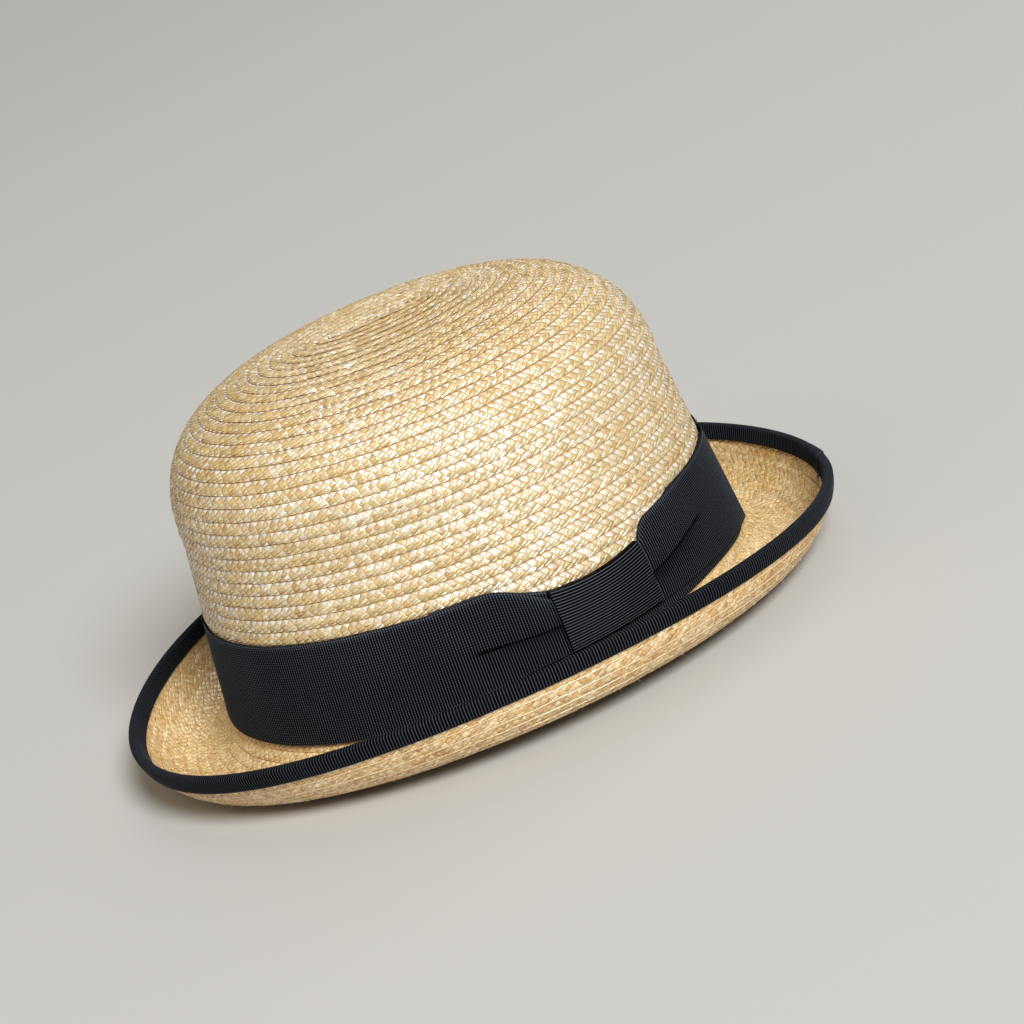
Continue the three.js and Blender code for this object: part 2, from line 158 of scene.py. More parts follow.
@dataclass(frozen=True)
class HatForm:
    """The outside of the hat, which every piece follows. Sizes are in millimetres."""

    head_length: float = 202.0
    head_width: float = 173.0
    head_line: float = 14.63
    wall: float = 1.8
    crown_height: float = 119.2
    shoulder_height: float = 67.4
    wall_taper: float = 8.3
    dome_power: float = 2.6
    root_angle: float = -78.0
    root_run: float = 23.3
    curl_start: float = 18.4
    curl_power: float = 0.74
    side: BrimSection = BrimSection(width=46.6, flat=14.7, curl=97.5)
    end: BrimSection = BrimSection(width=53.3, flat=-21.9, curl=78.0)
    crown_steps: int = 600
    brim_steps: int = 60

    @cached_property
    def meridian(self) -> dict[str, Array]:
        """The crown's outline from the tip to the head line.

        Returns:
            Distances out of the head oval, heights, runs from the tip, and the direction's two parts.
        """
        turn = np.linspace(math.pi / 2, 0.0, self.crown_steps)
        flat = np.cos(turn).clip(0.0) ** (2.0 / self.dome_power)
        rise = np.sin(turn) ** (2.0 / self.dome_power)
        inset = mix(self.wall_taper, self.head_width / 2, 1.0 - flat)
        height = mix(self.shoulder_height, self.crown_height, rise)
        share = np.linspace(1.0, 0.0, self.crown_steps)[1:]
        out = np.concatenate([-inset, -self.wall_taper * share])
        height = np.concatenate([height, self.shoulder_height * share])
        run = np.concatenate([[0.0], np.cumsum(np.hypot(np.diff(out), np.diff(height)))])
        return {
            "out": out,
            "height": height,
            "run": run,
            "out_step": np.gradient(out, run),
            "height_step": np.gradient(height, run),
        }

    @property
    def crown_run(self) -> float:
        """Distance along the crown from its tip to the head line."""
        return float(self.meridian["run"][-1])

    def run_at(self, height: float) -> float:
        """Distance from the tip at which the crown passes a height above the head line."""
        line = self.meridian
        return float(np.interp(-height, -line["height"], line["run"]))

    def oval(self, angle: Array, out: Array, height: Array) -> Array:
        """A point that lies out from the head oval.

        Args:
            angle: Radians from the wearer's left towards the back.
            out: Distance outside the head oval.
            height: Height above the head line.

        Returns:
            Points in millimetres, with the axes last.
        """
        x = (self.head_width / 2 + out) * np.cos(angle)
        y = (self.head_length / 2 + out) * np.sin(angle)
        return np.stack(np.broadcast_arrays(x, y, self.head_line + height), axis=-1)

    def crown_spot(self, run: Array, lift: Array) -> tuple[Array, Array]:
        """Out and height beside the crown's outside.

        Args:
            run: Distance from the tip.
            lift: Distance outward.

        Returns:
            Distance out of the head oval, and height above the head line.
        """
        line = self.meridian
        held = np.maximum(run, 0.0)
        out, height, out_step, height_step = (
            np.interp(held, line["run"], line[key])
            for key in ("out", "height", "out_step", "height_step")
        )
        return out - height_step * lift, height + out_step * lift

    def brim_spot(
        self, angle: Array, run: Array, lift: Array | float, ahead: Array | float = 0.0
    ) -> tuple[Array, Array]:
        """Out and height beside the brim's middle line.

        Args:
            angle: Radians from the wearer's left towards the back.
            run: Distance from the head line along the brim's end section.
            lift: Distance above the middle line.
            ahead: Distance further along the line's own direction.

        Returns:
            Distance out of the head oval, and height above the head line.
        """
        share = np.sin(angle) ** 2
        flat = mix(self.side.flat, self.end.flat, share)
        curl = mix(self.side.curl, self.end.curl, share)
        width = mix(self.side.width, self.end.width, share)
        reach = run * width / self.end.width

        def slope(place: Array) -> Array:
            """The line's slope.

            Args:
                place: Distance along the line.

            Returns:
                The slope in radians.
            """
            root = (self.root_angle - flat) * (1.0 - clamp01(place / self.root_run)) ** 2
            along = clamp01((place - self.curl_start) / (width - self.curl_start))
            return np.radians(flat + root + (curl - flat) * along**self.curl_power)

        step = reach / self.brim_steps
        out = np.zeros(np.broadcast(angle, run).shape) - self.wall / 2
        height = np.zeros_like(out)
        for index in range(self.brim_steps):
            turned = slope(step * (index + 0.5))
            out = out + np.cos(turned) * step
            height = height + np.sin(turned) * step
        last = slope(reach)
        out = out - np.sin(last) * lift + np.cos(last) * ahead
        return out, height + np.cos(last) * lift + np.sin(last) * ahead

    def surface(self, angle: Array, run: Array, lift: Array | float) -> Array:
        """A point beside the hat's outside, on the crown or past the head line on the brim.

        Args:
            angle: Radians from the wearer's left towards the back.
            run: Distance from the tip.
            lift: Distance outward.

        Returns:
            Points in millimetres, with the axes last.
        """
        angle, run, lift = (np.array(a, float) for a in np.broadcast_arrays(angle, run, lift))
        out, height = self.crown_spot(run, lift)
        past = run > self.crown_run
        if past.any():
            beyond = run[past] - self.crown_run
            out[past], height[past] = self.brim_spot(angle[past], beyond, lift[past] + self.wall / 2)
        return self.oval(angle, out, height)

    def over_wall(self, angle: Array, height: Array, lift: Array | float) -> Array:
        """A point over the crown's straight wall, at a height above the head line."""
        return self.oval(angle, lift - height * self.wall_taper / self.shoulder_height, height)


@dataclass
class Skin:
    """Collects points and faces with their marks, and turns them into one mesh."""

    points: list[Array] = field(default_factory=list)
    hollows: list[Array] = field(default_factory=list)
    softs: list[Array] = field(default_factory=list)
    faces: list[Array] = field(default_factory=list)
    bakes: list[Array] = field(default_factory=list)
    strands: list[Array] = field(default_factory=list)
    beads: list[Array] = field(default_factory=list)
    tones: list[Array] = field(default_factory=list)
    glosses: list[Array] = field(default_factory=list)
    count: int = 0

    def add_points(self, points: Array, hollow: Array | float, soft: bool) -> Array:
        """Adds points.

        Args:
            points: Points in millimetres, with the axes last.
            hollow: How deep each lies in a hollow, from 0 to 1; the finishes paint shade there.
            soft: Whether the edges at these points are shaded smooth.

        Returns:
            The points' numbers, in the shape of the array.
        """
        shape = points.shape[:-1]
        total = int(np.prod(shape))
        self.points.append(points.reshape(-1, 3))
        self.hollows.append(np.broadcast_to(hollow, shape).ravel())
        self.softs.append(np.full(total, soft))
        numbers = np.arange(self.count, self.count + total).reshape(shape)
        self.count += total
        return numbers

    def add_faces(
        self, corners: Array, bake: Array, strand: Array, tone: Array | float, gloss: Array | float,
        bead: Array | float = 0.0,
    ) -> None:
        """Adds faces of one corner count.

        Args:
            corners: Point numbers, one row for each face.
            bake: Place of each corner on the flat layout, from 0 to 1.
            strand: Place of each corner along and across its strand, in millimetres.
            tone: How pale each face is, from 0 to 1.
            gloss: How glossy each face is, from 0 to 1.
            bead: Place of each corner on its kernel, from 0 in the middle to 1 at the edge.
        """
        self.faces.append(corners)
        self.bakes.append(bake)
        self.strands.append(strand)
        self.beads.append(np.broadcast_to(bead, (*corners.shape, 2)))
        self.tones.append(np.broadcast_to(tone, len(corners)))
        self.glosses.append(np.broadcast_to(gloss, len(corners)))

    def build(self, name: str, material: bpy.types.Material) -> bpy.types.Object:
        """Makes the mesh and its object.

        Args:
            name: The piece's name.
            material: Its finish.

        Returns:
            The object, linked to the scene.
        """
        mesh = bpy.data.meshes.new(name)
        points = np.concatenate(self.points) * MM
        loops = np.concatenate([f.ravel() for f in self.faces])
        sizes = np.concatenate([np.full(len(f), f.shape[1]) for f in self.faces])
        mesh.vertices.add(len(points))
        mesh.vertices.foreach_set("co", points.astype(np.float32).ravel())
        mesh.loops.add(len(loops))
        mesh.loops.foreach_set("vertex_index", loops.astype(np.int32))
        mesh.polygons.add(len(sizes))
        mesh.polygons.foreach_set("loop_start", (np.cumsum(sizes) - sizes).astype(np.int32))
        mesh.update(calc_edges=True)
        mesh.shade_smooth()
        self._mark(mesh)
        mesh.materials.append(material)
        piece = bpy.data.objects.new(name, mesh)
        bpy.context.scene.collection.objects.link(piece)
        return piece

    def _mark(self, mesh: bpy.types.Mesh) -> None:
        """Gives the mesh its flat layouts, its marks and its sharp edges.

        Args:
            mesh: The mesh, with its points and faces.
        """
        for layer, rows in (("OFBake", self.bakes), ("strand", self.strands), ("bead", self.beads)):
            flat = np.concatenate([r.reshape(-1, 2) for r in rows])
            mesh.uv_layers.new(name=layer).data.foreach_set("uv", flat.astype(np.float32).ravel())
        marks = (
            ("tone", "FACE", self.tones),
            ("gloss", "FACE", self.glosses),
            ("hollow", "POINT", self.hollows),
        )
        for mark, domain, rows in marks:
            values = np.concatenate(rows).astype(np.float32)
            mesh.attributes.new(mark, "FLOAT", domain).data.foreach_set("value", values)
        ends = np.empty(len(mesh.edges) * 2, np.int32)
        mesh.edges.foreach_get("vertices", ends)
        hard = ~np.concatenate(self.softs)[ends.reshape(-1, 2)].any(axis=1)
        mesh.attributes.new("sharp_edge", "BOOLEAN", "EDGE").data.foreach_set("value", hard)


@dataclass(frozen=True)
class Fibre:
    """A thin loose end, made as a bent spike. Sizes are in millimetres, strips are shares of the layout."""

    radius: float
    sag: float
    strip: float
    strip_width: float
    strip_start: float = 0.1
    strip_step: float = 0.4
    sides: int = 3
    bend_at: float = 0.5
    taper: float = 0.5
    gloss: float = 0.5
    askew: Point = (0.31, 0.52, 0.79)

    def add_to(self, skin: Skin, roots: Array, tips: Array, tone: Array | float) -> None:
        """Adds loose ends.

        Args:
            skin: Takes the points and faces.
            roots: Where they start, in millimetres.
            tips: Where they would end if they were straight.
            tone: How pale they are.
        """
        count, sides = len(roots), self.sides
        along = tips - roots
        side = np.cross(along, np.array(self.askew))
        other = np.cross(along, side)
        side, other = (v / np.linalg.norm(v, axis=1, keepdims=True) for v in (side, other))
        drop = np.array([0.0, 0.0, -self.sag])
        rings: list[Array] = []
        for share in (0.0, self.bend_at):
            middle = roots + along * share + drop * share**2
            radius = self.radius * (1.0 - self.taper * share)
            for turn in TURN * np.arange(sides) / sides:
                rings.append(middle + radius * (math.cos(turn) * side + math.sin(turn) * other))
        numbers = skin.add_points(np.stack([*rings, tips + drop], axis=1), 0.0, True)
        steps = [(k, (k + 1) % sides) for k in range(sides)]
        faces = [((k, n, sides + n, sides + k), ((k, 0), (k + 1, 0), (k + 1, 1), (k, 1))) for k, n in steps]
        faces += [((sides + k, sides + n, 2 * sides), ((k, 1), (k + 1, 1), (k + 0.5, 2))) for k, n in steps]
        faces += [(tuple(reversed(range(sides))), ((0, 2),) * sides)]
        for corners, cells in faces:
            cell = np.broadcast_to(np.array(cells, float), (count, len(cells), 2))
            u = self.strip + self.strip_width * cell[..., 0] / sides
            v = (np.arange(count)[:, None] + self.strip_start + self.strip_step * cell[..., 1]) / count
            skin.add_faces(numbers[:, corners], np.stack([u, v], axis=-1), cell, tone, self.gloss)


def seat(piece: bpy.types.Object, node: Node) -> bpy.types.Object:
    """Lets a piece ride on the hat and stand for its solid, whose part it hides.

    Args:
        piece: The piece.
        node: The solid that it stands for.

    Returns:
        The same piece.
    """
    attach(piece, "root")
    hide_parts(node.value)
    LOG.info("%s: %d faces", piece.name, len(piece.data.polygons))
    return piece


class Graph:
    """A small helper that adds nodes to a tree and joins them."""

    FIRST_COLOUR, SECOND_COLOUR, MIXED_COLOUR = 6, 7, 2

    def __init__(self, tree: bpy.types.NodeTree) -> None:
        """Keeps the tree."""
        self.tree = tree

    def node(self, kind: str, **settings: object) -> bpy.types.Node:
        """Adds a node and sets its properties.

        Args:
            kind: The node's type.
            settings: Its properties by name.

        Returns:
            The node.
        """
        made = self.tree.nodes.new(kind)
        for key, value in settings.items():
            setattr(made, key, value)
        return made

    def feed(self, target: bpy.types.NodeSocket, source: object) -> None:
        """Joins a socket to another one, or sets its value.

        Args:
            target: The socket that is fed.
            source: Another socket, or a value.
        """
        if isinstance(source, bpy.types.NodeSocket):
            self.tree.links.new(source, target)
        else:
            target.default_value = source

    def maths(self, operation: str, a: object, b: object = 0.0, held: bool = False) -> bpy.types.NodeSocket:
        """Adds an operation on two values.

        Args:
            operation: Its name.
            a: The first value or socket.
            b: The second value or socket.
            held: Whether the result is kept between 0 and 1.

        Returns:
            The result.
        """
        made = self.node("ShaderNodeMath", operation=operation, use_clamp=held)
        self.feed(made.inputs[0], a)
        self.feed(made.inputs[1], b)
        return made.outputs[0]

    def plus(self, a: object, b: object, held: bool = False) -> bpy.types.NodeSocket:
        """Adds a sum."""
        return self.maths("ADD", a, b, held)

    def minus(self, a: object, b: object, held: bool = False) -> bpy.types.NodeSocket:
        """Adds a difference."""
        return self.maths("SUBTRACT", a, b, held)

    def times(self, a: object, b: object, held: bool = False) -> bpy.types.NodeSocket:
        """Adds a product."""
        return self.maths("MULTIPLY", a, b, held)

    def power(self, a: object, b: object) -> bpy.types.NodeSocket:
        """Adds a power."""
        return self.maths("POWER", a, b)

    def swing(self, value: object, share: object) -> bpy.types.NodeSocket:
        """Turns a value from 0 to 1 into a swing to either side of 0."""
        return self.times(self.minus(value, 0.5), share)

    def scaled(self, value: object, share: float, base: float) -> bpy.types.NodeSocket:
        """Adds a share of a value to a base."""
        return self.plus(self.times(value, share), base)

    def blend(self, share: object, a: object, b: object, kind: str = "MIX") -> bpy.types.NodeSocket:
        """Adds a mix of two colours.

        Args:
            share: How far it goes to the second colour.
            a: The first colour.
            b: The second colour.
            kind: How they are mixed.

        Returns:
            The mixed colour.
        """
        made = self.node("ShaderNodeMix", data_type="RGBA", blend_type=kind)
        self.feed(made.inputs["Factor"], share)
        self.feed(made.inputs[self.FIRST_COLOUR], a)
        self.feed(made.inputs[self.SECOND_COLOUR], b)
        return made.outputs[self.MIXED_COLOUR]

    def mark(self, name: str) -> bpy.types.NodeSocket:
        """Reads a value that the mesh carries."""
        return self.node("ShaderNodeAttribute", attribute_name=name).outputs["Fac"]

    def layout(self, name: str) -> bpy.types.NodeSocket:
        """Reads one of the mesh's flat layouts."""
        return self.node("ShaderNodeUVMap", uv_map=name).outputs[0]

    def place(self) -> bpy.types.NodeSocket:
        """Reads the place on the piece."""
        return self.node("ShaderNodeTexCoord").outputs["Object"]

    def parts(self, kind: str, source: bpy.types.NodeSocket) -> list[bpy.types.NodeSocket]:
        """Splits a vector or a colour.

        Args:
            kind: Type of the node that splits it.
            source: The vector or the colour.

        Returns:
            Its three values.
        """
        made = self.node(kind)
        self.feed(made.inputs[0], source)
        return list(made.outputs)

    def grain(self, vector: bpy.types.NodeSocket, stretch: Point, detail: float) -> bpy.types.NodeSocket:
        """Adds noise.

        Args:
            vector: Where it is read.
            stretch: Its scale along each axis.
            detail: How many finer layers it has.

        Returns:
            The noise, from 0 to 1.
        """
        placed = self.node("ShaderNodeMapping")
        self.feed(placed.inputs["Vector"], vector)
        placed.inputs["Scale"].default_value = stretch
        noise = self.node("ShaderNodeTexNoise")
        noise.inputs["Scale"].default_value = 1.0
        noise.inputs["Detail"].default_value = detail
        self.feed(noise.inputs["Vector"], placed.outputs[0])
        return noise.outputs["Fac"]

    def ramp(
        self, share: bpy.types.NodeSocket, stops: tuple[tuple[float, Colour], ...]
    ) -> bpy.types.NodeSocket:
        """Adds a colour ramp.

        Args:
            share: Where it is read.
            stops: Its places and colours.

        Returns:
            The colour.
        """
        made = self.node("ShaderNodeValToRGB")
        elements = made.color_ramp.elements
        while len(elements) < len(stops):
            elements.new(1.0)
        for element, (place, colour) in zip(elements, stops):
            element.position = place
            element.color = (*colour, 1.0)
        self.feed(made.inputs[0], share)
        return made.outputs[0]


@dataclass(frozen=True)
class Socket:
    """One named input of a node group, with its usual value."""

    name: str
    value: float | tuple[float, ...]

    @property
    def kind(self) -> str:
        """The socket's type."""
        return "NodeSocketColor" if isinstance(self.value, tuple) else "NodeSocketFloat"


LOOKS = {"Color": "NodeSocketColor", "Roughness": "NodeSocketFloat", "Height": "NodeSocketFloat"}


def new_group(name: str, inputs: tuple[Socket, ...]) -> tuple[Graph, dict[str, bpy.types.NodeSocket]]:
    """Starts a shader node group that puts out a colour, a roughness and a height.

    Args:
        name: The group's name.
        inputs: Its inputs.

    Returns:
        The graph, and its input sockets by name.
    """
    tree = bpy.data.node_groups.new(name, "ShaderNodeTree")
    for socket in inputs:
        made = tree.interface.new_socket(socket.name, in_out="INPUT", socket_type=socket.kind)
        made.default_value = socket.value
    for look, kind in LOOKS.items():
        tree.interface.new_socket(look, in_out="OUTPUT", socket_type=kind)
    graph = Graph(tree)
    start = graph.node("NodeGroupInput")
    return graph, {socket.name: start.outputs[socket.name] for socket in inputs}


def end_group(graph: Graph, looks: tuple[bpy.types.NodeSocket, ...]) -> bpy.types.NodeTree:
    """Joins what a group has made to its outputs.

    Args:
        graph: The group's graph.
        looks: Its colour, roughness and height.

    Returns:
        The group.
    """
    finish = graph.node("NodeGroupOutput")
    for name, look in zip(LOOKS, looks):
        graph.feed(finish.inputs[name], look)
    return graph.tree


class StrawEffect:
    """The look of split straw: pale and tan strands, fine streaks, and painted brown shade in the hollows
    between them.
    """

    NAME = "straw_strands"
    INPUTS = (
        Socket("Pallor", 0.0),
        Socket("Speckle", 0.0),
        Socket("Hollow Shade", 0.8),
        Socket("Tint", (1.0, 1.0, 1.0, 1.0)),
    )
    STOPS: tuple[tuple[float, Colour], ...] = (
        (0.0, (0.49, 0.27, 0.06)),
        (0.2, (0.64, 0.42, 0.135)),
        (0.5, (0.74, 0.535, 0.22)),
        (0.75, (0.83, 0.69, 0.41)),
        (1.0, (0.95, 0.91, 0.81)),
    )
    # Colour of the painted shade in the hollows between strands and rows, mixed in by the hollow mark.
    HOLLOW_SHADE: Colour = (0.34, 0.13, 0.012)
    HOLLOW_POWER = 2.4
    STREAKS: Point = (0.25, 2.8, 1.0)
    STREAK_DETAIL = 3.0
    STREAK_SHADE = 0.8
    PATCHES: Point = (38.0, 38.0, 38.0)
    PATCH_DETAIL = 2.0
    PATCH_SHADE = 0.3
    SPECKS: Point = (650.0, 650.0, 650.0)
    SPECK_DETAIL = 2.0
    # Painted shade at each kernel's edge, darkest at its rim.
    EDGE_POWER = 12.0
    EDGE_PAINTED_SHADE = 0.55
    ROUGHNESS = 0.35
    POLISH = 0.16
    HOLLOW_ROUGHNESS = 0.25
    STREAK_ROUGHNESS = 0.08
    STREAK_HEIGHT = 0.1
    ROUND_POWER = 2.5
    ROUND_HEIGHT = 0.22
    TILT_HEIGHT = 0.3

    @classmethod
    def build(cls) -> bpy.types.NodeTree:
        """Makes the node group.

        Returns:
            The group.
        """
        graph, given = new_group(cls.NAME, cls.INPUTS)
        x, y, _ = graph.parts("ShaderNodeSeparateXYZ", graph.layout("bead"))
        rim = graph.plus(graph.maths("ABSOLUTE", x), graph.maths("ABSOLUTE", y))
        gloss = graph.mark("gloss")
        streak = graph.grain(graph.layout("strand"), cls.STREAKS, cls.STREAK_DETAIL)
        patch = graph.grain(graph.place(), cls.PATCHES, cls.PATCH_DETAIL)
        speck = graph.grain(graph.place(), cls.SPECKS, cls.SPECK_DETAIL)

        tone = graph.plus(graph.mark("tone"), given["Pallor"])
        tone = graph.plus(tone, graph.swing(speck, given["Speckle"]))
        tone = graph.plus(tone, graph.swing(streak, cls.STREAK_SHADE))
        tone = graph.plus(tone, graph.swing(patch, cls.PATCH_SHADE), held=True)
        # Painted shade: the colour darkens towards the hollow colour in the hollows and at the kernels'
        # edges.
        edge = graph.times(graph.power(rim, cls.EDGE_POWER), cls.EDGE_PAINTED_SHADE)
        deep = graph.maths("MAXIMUM", graph.power(graph.mark("hollow"), cls.HOLLOW_POWER), edge)
        hollow = graph.times(deep, given["Hollow Shade"], held=True)
        colour = graph.blend(hollow, graph.ramp(tone, cls.STOPS), (*cls.HOLLOW_SHADE, 1.0))
        colour = graph.blend(1.0, colour, given["Tint"], "MULTIPLY")

        rough = graph.minus(cls.ROUGHNESS, graph.times(gloss, cls.POLISH))
        rough = graph.plus(rough, graph.times(graph.mark("hollow"), cls.HOLLOW_ROUGHNESS))
        rough = graph.plus(rough, graph.times(streak, cls.STREAK_ROUGHNESS), held=True)

        chance = graph.node("ShaderNodeTexWhiteNoise", noise_dimensions="1D")
        graph.feed(chance.inputs["W"], gloss)
        tilts = graph.parts("ShaderNodeSeparateColor", chance.outputs["Color"])
        height = graph.times(streak, cls.STREAK_HEIGHT)
        height = graph.minus(height, graph.times(graph.power(rim, cls.ROUND_POWER), cls.ROUND_HEIGHT))
        for tilt, arm in zip(tilts, (x, y)):
            slope = graph.swing(tilt, 2.0 * cls.TILT_HEIGHT)
            height = graph.plus(height, graph.times(slope, arm))
        return end_group(graph, (colour, rough, height))


class RibbonEffect:
    """The look of black grosgrain: fine threads over each rib, and painted shade in the grooves."""

    NAME = "grosgrain"
    INPUTS = (Socket("Along Ribs", 1.0), Socket("Thread Depth", 0.7), Socket("Bloom", 1.0))
    CREST: Colour = (0.185, 0.207, 0.258)
    # Colour of the painted shade in the grooves and on the ribbon's hidden back.
    GROOVE_SHADE: Colour = (0.0004, 0.0005, 0.0008)
    CREST_POWER = 5.0
    FUZZ: Point = (2.2, 2.2, 1.0)
    FUZZ_DETAIL = 3.0
    FUZZ_SHADE = 0.9
    FUZZ_BASE = 0.55
    CLOUDS: Point = (26.0, 26.0, 26.0)
    CLOUD_DETAIL = 2.0
    CLOUD_SHADE = 0.8
    CLOUD_BASE = 0.6
    ROUGHNESS = 0.3
    FUZZ_ROUGHNESS = 0.25
    THREAD_HEIGHT = 0.6

    @classmethod
    def build(cls) -> bpy.types.NodeTree:
        """Makes the node group.

        Returns:
            The group.
        """
        graph, given = new_group(cls.NAME, cls.INPUTS)
        strand = graph.layout("strand")
        fuzz = graph.grain(strand, cls.FUZZ, cls.FUZZ_DETAIL)
        cloud = graph.grain(graph.place(), cls.CLOUDS, cls.CLOUD_DETAIL)
        across = graph.parts("ShaderNodeSeparateXYZ", strand)[1]
        wave = graph.maths("SINE", graph.times(across, given["Along Ribs"]))
        dip = graph.minus(0.5, graph.times(wave, 0.5))
        thread = graph.minus(1.0, graph.times(dip, given["Thread Depth"]))

        # Painted shade: the colour falls from the crest colour to the groove colour as the hollow mark grows.
        crest = graph.power(graph.minus(1.0, graph.mark("hollow"), held=True), cls.CREST_POWER)
        crest = graph.times(crest, thread)
        colour = graph.blend(crest, (*cls.GROOVE_SHADE, 1.0), (*cls.CREST, 1.0))
        bloom = graph.times(given["Bloom"], graph.scaled(cloud, cls.CLOUD_SHADE, cls.CLOUD_BASE))
        grey = graph.times(bloom, graph.scaled(fuzz, cls.FUZZ_SHADE, cls.FUZZ_BASE))
        tint = graph.node("ShaderNodeCombineColor")
        for socket in tint.inputs:
            if socket.enabled:
                graph.feed(socket, grey)
        colour = graph.blend(1.0, colour, tint.outputs[0], "MULTIPLY")

        rough = graph.scaled(fuzz, cls.FUZZ_ROUGHNESS, cls.ROUGHNESS)
        height = graph.plus(graph.times(thread, cls.THREAD_HEIGHT), fuzz)
        return end_group(graph, (colour, rough, height))


@dataclass(frozen=True, kw_only=True)
class Finish(ABC):
    """A material that takes its colour, roughness and relief from a shared group."""

    name: str
    bump: float

    @abstractmethod
    def shader_values(self) -> dict[str, float]:
        """The values that are set on the shader itself."""

    @abstractmethod
    def group_values(self) -> dict[str, float | tuple[float, ...]]:
        """The values that are set on the shared group."""

    def build(self, effect: bpy.types.NodeTree) -> bpy.types.Material:
        """Makes the material.

        Args:
            effect: The shared group.

        Returns:
            The material.
        """
        material = bpy.data.materials.new(self.name)
        material.use_nodes = True
        graph = Graph(material.node_tree)
        shader = material.node_tree.nodes["Principled BSDF"]
        group = graph.node("ShaderNodeGroup", node_tree=effect)
        bump = graph.node("ShaderNodeBump")
        bump.inputs["Distance"].default_value = self.bump * MM
        for node, values in ((shader, self.shader_values()), (group, self.group_values())):
            for key, value in values.items():
                node.inputs[key].default_value = value
        graph.feed(shader.inputs["Base Color"], group.outputs["Color"])
        graph.feed(shader.inputs["Roughness"], group.outputs["Roughness"])
        graph.feed(bump.inputs["Height"], group.outputs["Height"])
        graph.feed(shader.inputs["Normal"], bump.outputs[0])
        return material


@dataclass(frozen=True, kw_only=True)
class StrawFinish(Finish):
    """One shade of natural straw."""

    pallor: float
    speckle: float
    hollow_shade: float
    tint: Colour
    bump: float = 1.0
    ior: float = 2.0
    specular: float = 1.0

    def shader_values(self) -> dict[str, float]:
        """The straw's glaze."""
        return {"IOR": self.ior, "Specular IOR Level": self.specular}

    def group_values(self) -> dict[str, float | tuple[float, ...]]:
        """The straw's shade.

        Returns:
            The group's values by name.
        """
        return {
            "Pallor": self.pallor,
            "Speckle": self.speckle,
            "Hollow Shade": self.hollow_shade,
            "Tint": (*self.tint, 1.0),
        }


@dataclass(frozen=True, kw_only=True)
class RibbonFinish(Finish):
    """One grosgrain ribbon."""

    bloom: float
    thread_depth: float
    threads: float = 1.0
    bump: float = 0.1
    specular: float = 0.03

    def shader_values(self) -> dict[str, float]:
        """The ribbon's faint sheen."""
        return {"Specular IOR Level": self.specular}

    def group_values(self) -> dict[str, float | tuple[float, ...]]:
        """The ribbon's threads and shade.

        Returns:
            The group's values by name.
        """
        return {
            "Along Ribs": TURN * self.threads,
            "Thread Depth": self.thread_depth,
            "Bloom": self.bloom,
        }


CROWN_STRAW = StrawFinish(
    name="straw_crown", pallor=0.06, speckle=0.0, hollow_shade=0.9, tint=(1.0, 1.0, 1.0)
)
BRIM_STRAW = StrawFinish(
    name="straw_brim", pallor=0.38, speckle=1.5, hollow_shade=0.85, tint=(1.0, 0.8, 0.48)
)
BAND_GROSGRAIN = RibbonFinish(name="band_grosgrain", bloom=0.92, thread_depth=0.75)
KNOT_GROSGRAIN = RibbonFinish(name="knot_grosgrain", bloom=0.7, thread_depth=0.15)
BINDING_GROSGRAIN = RibbonFinish(name="binding_grosgrain", bloom=0.48, thread_depth=0.2)


@dataclass(frozen=True)
class Plait:
    """Sizes of the flat straw plait and how its rows lap. Sizes are in millimetres.

    A tuple with four values has one for each line of a row, from its tucked edge to its free edge.
    """

    pitch: float = 4.6
    lap: float = 1.5
    period: float = 3.1
    ends: int = 7
    thickness: float = 0.4
    step: float = 0.36
    proud: float = 0.2
    ridge: float = 0.1
    ridge_tilt: float = 0.08
    ridge_hollow: float = 0.12
    ridge_bead: float = 0.52
    overhang: float = 0.12
    scallop: float = 0.05
    jitter: float = 0.17
    jitter_limit: float = 2.2
    jitter_lift: float = 0.3
    across: tuple[float, ...] = (0.0, 0.42, 0.72, 1.0)
    bump: tuple[float, ...] = (0.0, 0.05, 0.16, 0.08)
    dip: tuple[float, ...] = (0.12, -0.08, 0.10, 0.08)
    lean: tuple[float, ...] = (0.0, 0.0, -0.9, -2.2)
    # Hollow marks at the crossings of each line, the tucked edge's middles and the ridges: painted shade in
    # the straw's colour.
    hollow: tuple[float, ...] = (0.95, 0.6, 0.6, 0.5)
    tucked_hollow: float = 0.4
    gap_swing: float = 0.3
    widest_at: float = 60.0
    tight_turns: Range = (6.0, 24.0)
    tight_gap: float = 0.2
    # Painted shade on each kernel's upper half and painted light on its lower half, per line; the pale lower
    # half of the first line is a painted highlight.
    upper_painted_shade: tuple[float, ...] = (0.0, -0.16, -0.04, 0.0)
    lower_painted_light: tuple[float, ...] = (0.38, -0.02, 0.04, 0.0)
    lustre: tuple[float, ...] = (0.5, -0.1, 0.1, 0.0)
    streak_turn: float = 0.43
    streak_shift: float = 97.0
    streak_step: float = 0.37

    @property
    def column(self) -> float:
        """Distance between lattice columns along the row."""
        return self.period / 2

    @property
    def loop(self) -> float:
        """Length once round the plait's cut."""
        return 2.0 * (self.pitch + self.lap + self.thickness)

    def along_rows(self, values: tuple[float, ...], rows: int) -> Array:
        """Spreads the values of four lines over another number of lines."""
        return np.interp(np.linspace(0, 1, rows + 1), np.linspace(0, 1, len(values)), values)

    def free_edge(self, side: Side) -> float:
        """Where a face's free edge lies across the row."""
        return self.pitch if side is Side.OUTER else -self.lap

    def level(self, side: Side, across: Array | float) -> Array | float:
        """Height of a face over the hat's surface, across the row from the outer tucked edge."""
        depth = 0.0 if side is Side.OUTER else self.thickness
        return self.proud - self.step * (1.0 - across / self.pitch) - depth


@dataclass(frozen=True)
class Weave:
    """How finely one face of a plait is woven."""

    side: Side
    rows: int
    stepped: bool
    arch: float
    gap: float
    hollow: float
    variety: float
    pallor: float = 0.0


